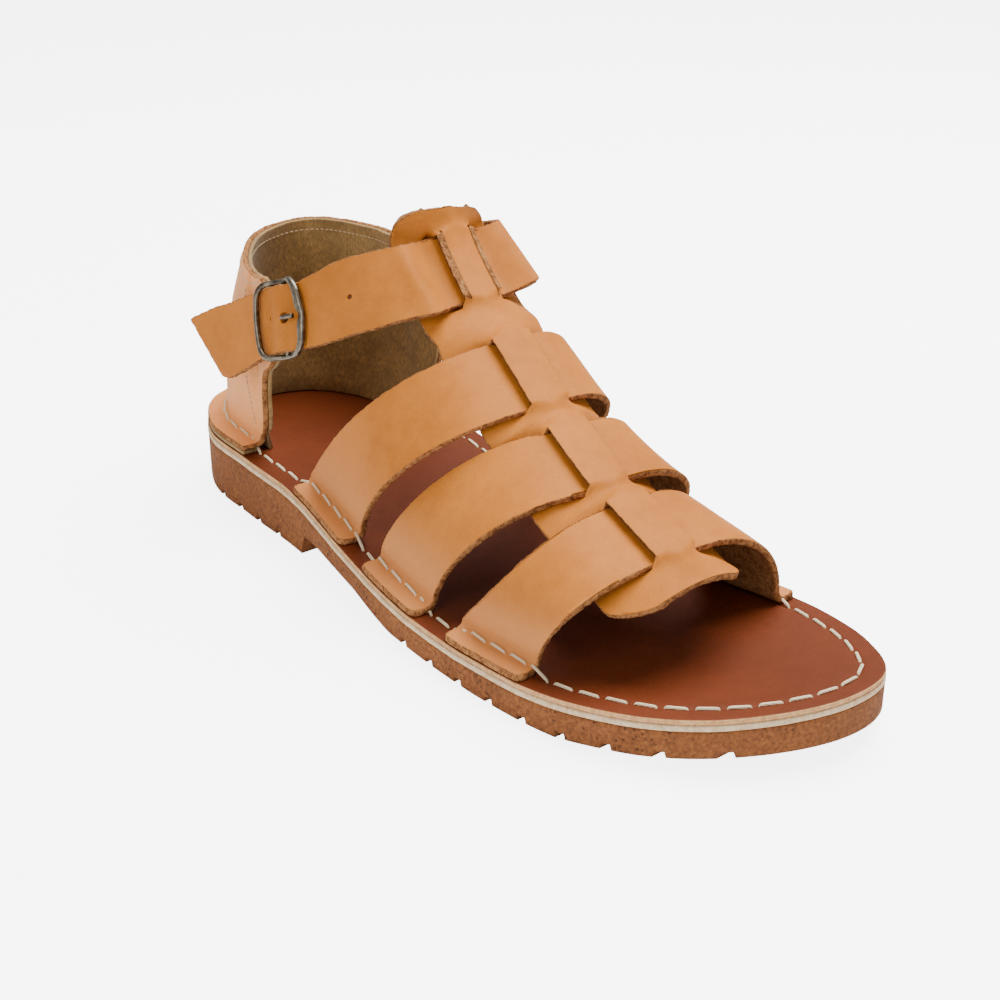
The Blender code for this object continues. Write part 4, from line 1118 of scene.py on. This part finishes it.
def quarter_rows():
    """Foot, collar, outward swell and flange of each row; no flange where the foot is in the air."""
    feet, collars, swells, flanges = [], [], [], []
    for position, share in zip(TAB_ROWS, TAB_SHARES):
        half = (strap_half(position) - TAB_MARGIN) * share
        low, high = (lateral_point(position, half * k, -(LEATHER + TAB_PLAY)) for k in (-1, 1))
        feet.append(low)
        collars.append(high)
        swells.append(np.zeros(3))
        flanges.append(None)
    for base, top in QUARTER:
        collar = quarter_place(top)
        away = unit(collar[:2] - np.array(HEEL_MIDDLE))
        if isinstance(base, tuple):
            feet.append(quarter_place(base))
            flanges.append(None)
            swells.append(np.zeros(3))
        else:
            side, along = edge_place(base * SOLE_LENGTH)
            root = root_points(side, along, CREASE_INSET - FLANGE_EDGE, QUARTER_LEATHER)
            feet.append(root[0])
            flanges.append(root[:0:-1])
            swells.append(np.array((*away, 0)) * QUARTER_BULGE)
        collars.append(collar)
    return feet, collars, swells, flanges


def make_quarter_grid(steps=10, rows=44):
    """Face of the quarter, flange columns first, and the cells that are left open."""
    feet, collars, swells, flanges = quarter_rows()
    feet, collars, swells = (smooth_curve(v, steps) for v in (feet, collars, swells))
    share = spread(QUARTER_WALL, QUARTER_WALL / rows)[None, :, None]
    wall = feet[:, None] + (collars - feet)[:, None] * share + swells[:, None] * np.sin(math.pi * share)
    seated = [k for k, flange in enumerate(flanges) if flange is not None]
    first, last = seated[0] * steps, seated[-1] * steps
    sewn = np.array([flanges[k] for k in seated])
    sewn = np.stack([smooth_curve(sewn[:, k], steps) for k in range(sewn.shape[1])], axis=1)
    full = np.repeat(feet[:, None], sewn.shape[1], axis=1)
    full[first:last + 1] = sewn
    grid = np.concatenate((full, wall), axis=1)
    missing = np.zeros((len(grid) - 1, grid.shape[1] - 1), bool)
    missing[:first, :sewn.shape[1]] = True
    missing[last:, :sewn.shape[1]] = True
    return grid, missing, sewn.shape[1], first, last


def quarter_normals(grid, flange, first, last):
    """Normals of the wall, and of wall and flange together where the quarter is seated."""
    normals = np.zeros_like(grid)
    normals[:, flange:] = grid_normals(grid[:, flange:])
    normals[first:last + 1] = grid_normals(grid[first:last + 1])
    return normals


def make_lining_suede():
    material, tree, shader = start_material("khaki_lining_suede", 0.95)
    body = grouped(tree, MOTTLE, (("Light", (0.470, 0.270, 0.085)), ("Deep", (0.265, 0.145, 0.042)),
                                  ("Size", 70.0), ("Contrast", 1.8)))
    nap = noise(tree, placed(tree, (1.0, 1.0, 0.45)), 1300.0, 5.0, 0.75)
    brushed = mixed(tree, ramped(tree, nap, 0.3, 0.7), (0.200, 0.115, 0.036), body.outputs["Color"])
    tree.links.new(brushed, shader.inputs["Base Color"])
    shader.inputs["Sheen Weight"].default_value = 0.12
    shader.inputs["Sheen Roughness"].default_value = 0.5
    bumped(tree, shader, nap, 0.35 * MM)
    return material


def make_lining_grid(grid, flange, first, last):
    """The wall's inner face, run straight down to the footbed where the quarter is seated."""
    wall = grid[:, flange:]
    inner = wall - grid_normals(wall) * (OUTER_HIDE + HIDE_PLAY)
    foot = inner[:, 0].copy()
    for row in range(first, last + 1):
        top = footbed_top(SOLE_LENGTH / 2 - foot[row, 1]) + LINING_PLAY
        rise = inner[row, LINING_SLOPE_ROWS] - inner[row, 0]
        foot[row] -= rise * (foot[row, 2] - top) / rise[2]
    missing = np.zeros((len(inner) - 1, inner.shape[1]), bool)
    missing[:first, 0] = True
    missing[last:, 0] = True
    return np.concatenate((foot[:, None], inner), axis=1), missing


def make_quarter():
    grid, missing, flange, first, last = make_quarter_grid()
    outer = leather_sheet("heel_quarter_hide", grid, OUTER_HIDE, QUARTER_HIDE,
                          "heel_quarter", missing=missing)
    suede = make_lining_suede()
    inner, missing = make_lining_grid(grid, flange, first, last)
    leather_sheet("heel_quarter_lining", inner, LINING, suede, "heel_quarter",
                  missing=missing, fray=LINING_FRAY)
    turned = grid - quarter_normals(grid, flange, first, last) * (OUTER_HIDE + HIDE_PLAY)
    leather_sheet("turned_out_lining", turned[first:last + 1, :TURNED_COLUMNS], LINING, suede,
                  "heel_quarter", fray=LINING_FRAY)
    return outer


QUARTER_HIDE = make_cowhide("firm_tan_cowhide", (0.860, 0.360, 0.125), (0.760, 0.300, 0.090),
                            (0.50, 0.17, 0.04))
quarter = make_quarter()

# Buckle
# A small cast frame of brushed nickel over brass, with a dip in its front bar where the prong
# rests, and a centre bar that carries the prong.
WIRE = 2.2 * MM
BAR = 2.0 * MM
PRONG = 2.2 * MM
BUCKLE_LENGTH = 19 * MM
BAR_BOW = 1.0 * MM
BUCKLE_PLAY = 0.4 * MM
BUCKLE_CORNER = 4.0 * MM
DIP_WIDTH = 2.0 * MM
DIP_BACK = 0.35 * MM
DIP_DEPTH = 0.25 * MM


def buckle_bow(run_share):
    """Height of the frame over the strap's resting face, along the strap."""
    over = 1.6 * GAP + WIRE / 2
    under = STRAP_LIFT - LEATHER - 1.3 * GAP - BAR / 2
    return over + (under - over) * math.cos(math.pi / 2 * run_share) ** 2


def make_metal():
    material, tree, shader = start_material("aged_nickel", 0.32)
    where = placed(tree)
    cloud = noise(tree, where, 260.0, 4.0, 0.65)
    scratch = noise(tree, placed(tree, (0.25, 1.0, 2.2)), 2600.0, 3.0, 0.7)
    worn = mixed(tree, ramped(tree, cloud, 0.35, 0.65), (0.075, 0.062, 0.042), (0.22, 0.19, 0.14))
    scored = mixed(tree, ramped(tree, scratch, 0.52, 0.75), worn, (0.07, 0.055, 0.04))
    tree.links.new(scored, shader.inputs["Base Color"])
    shader.inputs["Metallic"].default_value = 1.0
    tree.links.new(mathed(tree, "MULTIPLY_ADD", cloud, 0.35, 0.16), shader.inputs["Roughness"])
    bumped(tree, shader, scratch, 0.03 * MM)
    return material


def sweep(path, sizes, up, sides=20, closed=False):
    """Rings of a rounded section along a path; sizes are half width and half height."""
    count = len(path)
    points = []
    for k in range(count):
        if closed:
            run = unit(path[(k + 1) % count] - path[k - 1])
        else:
            run = unit(path[min(k + 1, count - 1)] - path[max(k - 1, 0)])
        side = unit(np.cross(run, up))
        top = np.cross(side, run)
        wide, high = sizes[k]
        for t in np.arange(sides) * 2 * math.pi / sides:
            c, s = math.cos(t), math.sin(t)
            points.append(path[k] + side * wide * math.copysign(abs(c) ** 0.8, c)
                          + top * high * math.copysign(abs(s) ** 0.8, s))
    faces = ring_faces(count, sides, closed)
    if not closed:
        last = (count - 1) * sides
        faces += [tuple(range(sides))[::-1], tuple(last + k for k in range(sides))]
    return points, faces


def buckle_outline():
    """The frame seen flat: (towards the free end, up the leg), corners rounded."""
    run = BUCKLE_LENGTH / 2
    width = PINCHED_WIDTH / 2 + BUCKLE_PLAY + WIRE / 2
    path = []
    for x_sign, y_sign, start in ((1, 1, 0), (-1, 1, 90), (-1, -1, 180), (1, -1, 270)):
        for step in range(9):
            turn = math.radians(start + step * 11.25)
            path.append((x_sign * (run - BUCKLE_CORNER) + BUCKLE_CORNER * math.cos(turn),
                         y_sign * (width - BUCKLE_CORNER) + BUCKLE_CORNER * math.sin(turn)))
    path.append(path[0])
    full = []
    for (x0, y0), (x1, y1) in zip(path, path[1:]):
        steps = max(int(math.hypot(x1 - x0, y1 - y0) / (0.9 * MM)), 1)
        full += [(x0 + (x1 - x0) * k / steps, y0 + (y1 - y0) * k / steps) for k in range(steps)]
    return full


def make_buckle():
    metal = make_metal()
    half_run = BUCKLE_LENGTH / 2
    half_width = PINCHED_WIDTH / 2 + BUCKLE_PLAY + WIRE / 2
    up = unit(buckle_point(0, 0, 10 * MM) - buckle_point(0, 0, 0))
    path, sizes = [], []
    for x, y in buckle_outline():
        dip = math.exp(-(y / DIP_WIDTH) ** 2) if x < 0 else 0.0
        front = max(-x / half_run, 0) ** 4
        bowed = x + math.copysign(BAR_BOW, x) * (1 - (y / half_width) ** 2) * abs(x) / half_run
        flat = front * (1 - (y / half_width) ** 2)
        path.append(buckle_point(bowed - DIP_BACK * dip, y,
                                 buckle_bow(min(abs(x) / half_run, 1)) - DIP_DEPTH * dip))
        sizes.append((WIRE * (0.42 + 0.34 * flat - 0.26 * dip), WIRE * (0.44 - 0.06 * dip)))
    points, faces = sweep(path, sizes, up, closed=True)
    height = buckle_bow(0)
    bar = [buckle_point(0, y, height) for y in np.linspace(-half_width, half_width, 12)]
    more, extra = sweep(bar, [(BAR / 2, BAR / 2)] * len(bar), up, 16)
    faces += [tuple(k + len(points) for k in face) for face in extra]
    make_piece("buckle_frame_cast", points + more, faces, metal, "buckle_frame")
    rest = buckle_bow(1) + WIRE * 0.40 + PRONG * 0.28
    tip = half_run - 0.2 * MM
    route = [(PRONG_REACH * 0.80, height + GAP), (PRONG_REACH, height + PRONG * 0.73),
             (PRONG_REACH + PRONG * 0.27, rest * 0.75), (PRONG_REACH + PRONG * 1.18, rest),
             (half_run * 0.88, rest), (tip, rest - GAP)]
    spine_line = smooth_curve([buckle_point(-x, 0, h) for x, h in route], 8)
    taper = [(PRONG * 0.5 * min(1, 0.35 + (len(spine_line) - k) / 6), PRONG * 0.36)
             for k in range(len(spine_line))]
    points, faces = sweep(spine_line, taper, unit(buckle_point(0, 10 * MM, 0) - buckle_point(0, 0, 0)), 16)
    make_piece("buckle_prong_wire", points, faces, metal, "buckle_prong")


make_buckle()

# Stitching
# Waxed cream thread, saddle-stitched by hand round the whole sole, through footbed, flanges and
# midsole. Finer rows of the same thread hold the quarter's lining and the ankle strap's end.
STITCH_PITCH = 8.3 * MM
STITCH_LENGTH = 6.9 * MM
THREAD = 1.05 * MM
STITCH_SLANT = 0.25 * MM
STITCH_SINK = 0.5 * MM
NEEDLE_HEIGHT = 5.2 * MM
NEEDLE_REACH = 9 * MM
FINE_PITCH = 1.9 * MM
FINE_LENGTH = 1.3 * MM
FINE_THREAD = 0.42 * MM
FINE_SINK = 0.15 * MM
COLLAR_START = 60               # row of the quarter where its collar stitching begins
COLLAR_COLUMN = -5
EDGE_ROWS = 3


def make_thread(name, pale, deep, twist):
    material, tree, shader = start_material(name, 0.7)
    wave = add(tree, "ShaderNodeTexWave", (("Vector", placed(tree)), ("Scale", twist), ("Distortion", 2.0),
                                           ("Detail", 2.0)), bands_direction="DIAGONAL").outputs["Fac"]
    fluff = noise(tree, placed(tree), 2400.0, 3.0, 0.7)
    plies = mathed(tree, "MULTIPLY_ADD", fluff, 0.4, mathed(tree, "MULTIPLY", wave, 0.6))
    tree.links.new(mixed(tree, ramped(tree, plies, 0.2, 0.7), deep, pale), shader.inputs["Base Color"])
    bumped(tree, shader, plies, 0.12 * MM)
    return material


def thread_run(start, end, up, radius, sink):
    """One stitch: out of its hole, along the leather and down into the next hole."""
    side = unit(np.cross(end - start, up))
    rings = []
    for share in (0.0, 0.03, 0.08, 0.18, 0.34, 0.5, 0.66, 0.82, 0.92, 0.97, 1.0):
        arc = min(share, 1 - share) * 2
        rise = radius * (0.75 - 1.0 * (1 - min(arc * 4, 1)) ** 2) - sink * (1 - min(arc * 6, 1))
        width = radius * (0.72 + 0.28 * min(arc * 3, 1))
        centre = start + (end - start) * share + up * rise
        rings.append([centre + width * (side * math.cos(t) + up * math.sin(t) * 0.85)
                      for t in np.arange(8) * math.pi / 4])
    return np.array(rings).reshape(-1, 3)


def sew(name, runs, material, node, radius, sink):
    """All the stitches of a row as one piece; runs are start, end and upward direction."""
    points, faces = [], []
    for start, end, up in runs:
        base = sum(len(p) for p in points)
        rings = thread_run(start, end, up, radius, sink)
        ends = [tuple(range(8))[::-1], tuple(len(rings) - 8 + k for k in range(8))]
        faces += [tuple(k + base for k in face) for face in ring_faces(len(rings) // 8, 8) + ends]
        points.append(rings)
    return make_piece(name, np.concatenate(points), faces, material, node)


def sew_sole():
    """Saddle stitches round the sole, lying on whatever is sewn down there."""
    tree = surface_tree([footbed, quarter] + straps)
    order = (HEEL_INDEX + np.arange(len(EDGE) + 1)) % len(EDGE)
    ring = (EDGE - EDGE_OUT * STITCH_INSET)[order]
    outward = EDGE_OUT[order]
    marks = np.r_[0, np.cumsum(np.linalg.norm(np.diff(ring, axis=0), axis=1))]
    count = round(marks[-1] / STITCH_PITCH)

    def on_leather(distance, shift):
        here = distance % marks[-1]
        along, across = (np.interp(here, marks, ring[:, k])
                         + np.interp(here, marks, outward[:, k]) * shift for k in range(2))
        spot = place(across, along, footbed_top(along) + NEEDLE_HEIGHT)
        hit = tree.ray_cast(Vector(spot), Vector((0, 0, -1)), NEEDLE_REACH)[0]
        return np.array(hit) if hit is not None else spot - np.array((0, 0, NEEDLE_HEIGHT))

    runs = []
    for k in range(count):
        middle = marks[-1] * (k + 0.5) / count
        half = STITCH_LENGTH / 2
        start, end = on_leather(middle - half, STITCH_SLANT), on_leather(middle + half, -STITCH_SLANT)
        runs.append((start, end, np.array((0.0, 0.0, 1.0))))
    return sew("sole_stitching", runs, WAXED_THREAD, "footbed", THREAD / 2, STITCH_SINK)


def stitch_row(points, normals):
    """Stitches along a line of points, as start, end and outward direction."""
    marks = np.r_[0, np.cumsum(np.linalg.norm(np.diff(points, axis=0), axis=1))]
    runs = []
    for k in range(int(marks[-1] / FINE_PITCH)):
        middle = (k + 0.5) * FINE_PITCH
        spots = [np.array([np.interp(middle + d, marks, points[:, j]) for j in range(3)])
                 for d in (-FINE_LENGTH / 2, FINE_LENGTH / 2)]
        up = np.array([np.interp(middle, marks, normals[:, j]) for j in range(3)])
        runs.append((spots[0], spots[1], unit(up)))
    return runs


def sew_quarter():
    """Rows along the collar, down the front edge and across the end over the ankle strap."""
    grid, _, flange, first, last = make_quarter_grid()
    normals = quarter_normals(grid, flange, first, last)
    inside = grid - normals * (OUTER_HIDE + LINING + 0.12 * MM)
    start, collar, runs = COLLAR_START, COLLAR_COLUMN, []
    runs += stitch_row(grid[start:, collar], normals[start:, collar])
    runs += stitch_row(inside[start:, collar], -normals[start:, collar])
    front = first + EDGE_ROWS
    runs += stitch_row(grid[front, flange + 4:collar], normals[front, flange + 4:collar])
    runs += stitch_row(inside[front, flange + 4:collar], -normals[front, flange + 4:collar])
    rear = last - EDGE_ROWS
    runs += stitch_row(grid[rear, flange + 4:collar], normals[rear, flange + 4:collar])
    for column in (-5, -11):
        runs += stitch_row(grid[column, flange + 2:-3], normals[column, flange + 2:-3])
    return sew("quarter_stitching", runs, FINE_WAXED_THREAD, "heel_quarter", FINE_THREAD / 2, FINE_SINK)


WAXED_THREAD = make_thread("waxed_thread", (0.86, 0.72, 0.50), (0.55, 0.38, 0.20), 900.0)
FINE_WAXED_THREAD = make_thread("fine_waxed_thread", (0.80, 0.60, 0.38), (0.50, 0.32, 0.16), 1800.0)
sew_sole()
sew_quarter()

# Floor, light and camera
# A plain white floor, one broad soft light from above and a weaker one from the left.
FLOOR = 60.0
FLOOR_GLOW = 5.0
STUDIO_LIGHT = 0.55
# Lamps: name, place, point they are aimed at, diameter, power in watts
LAMPS = (
    ("overhead", (0.40, 0.05, 1.10), (0, 0, 0.03), 1.0, 34),
    ("left", (-1.1, -0.3, 0.55), (0, 0, 0.04), 0.7, 7),
)
CAMERA = (-0.2972, -0.3728, 0.2507)
CAMERA_AIM = (0.0, -0.008, 0.030)
CAMERA_LENS = 60.0


def make_floor():
    mesh = bpy.data.meshes.new("floor")
    size = FLOOR / 2
    corners = [(-size, -size, 0), (size, -size, 0), (size, size, 0), (-size, size, 0)]
    mesh.from_pydata(corners, [], [(0, 1, 2, 3)])
    floor = bpy.data.objects.new("floor", mesh)
    bpy.context.scene.collection.objects.link(floor)
    material, tree, shader = start_material("white_floor", 0.6)
    shader.inputs["Base Color"].default_value = (0.92, 0.92, 0.93, 1)
    shader.inputs["Emission Color"].default_value = (1, 1, 1, 1)
    seen = add(tree, "ShaderNodeLightPath").outputs["Is Camera Ray"]
    tree.links.new(mathed(tree, "MULTIPLY", seen, FLOOR_GLOW), shader.inputs["Emission Strength"])
    mesh.materials.append(material)


def add_light(name, spot, aim, size, power):
    data = bpy.data.lights.new(name, "AREA")
    data.shape, data.size, data.energy = "DISK", size, power
    light = bpy.data.objects.new(name, data)
    bpy.context.scene.collection.objects.link(light)
    light.location = spot
    light.rotation_euler = (Vector(aim) - Vector(spot)).to_track_quat("-Z", "Y").to_euler()


def add_camera():
    data = bpy.data.cameras.new("camera")
    data.lens = CAMERA_LENS
    data.clip_start = 0.01
    camera = bpy.data.objects.new("camera", data)
    bpy.context.scene.collection.objects.link(camera)
    camera.location = CAMERA
    camera.rotation_euler = (Vector(CAMERA_AIM) - Vector(CAMERA)).to_track_quat("-Z", "Y").to_euler()
    bpy.context.scene.camera = camera


make_floor()
world = bpy.data.worlds.new("studio")
world.use_nodes = True
world.node_tree.nodes["Background"].inputs["Color"].default_value = (1, 1, 1, 1)
world.node_tree.nodes["Background"].inputs["Strength"].default_value = STUDIO_LIGHT
bpy.context.scene.world = world
for lamp in LAMPS:
    add_light(*lamp)
add_camera()
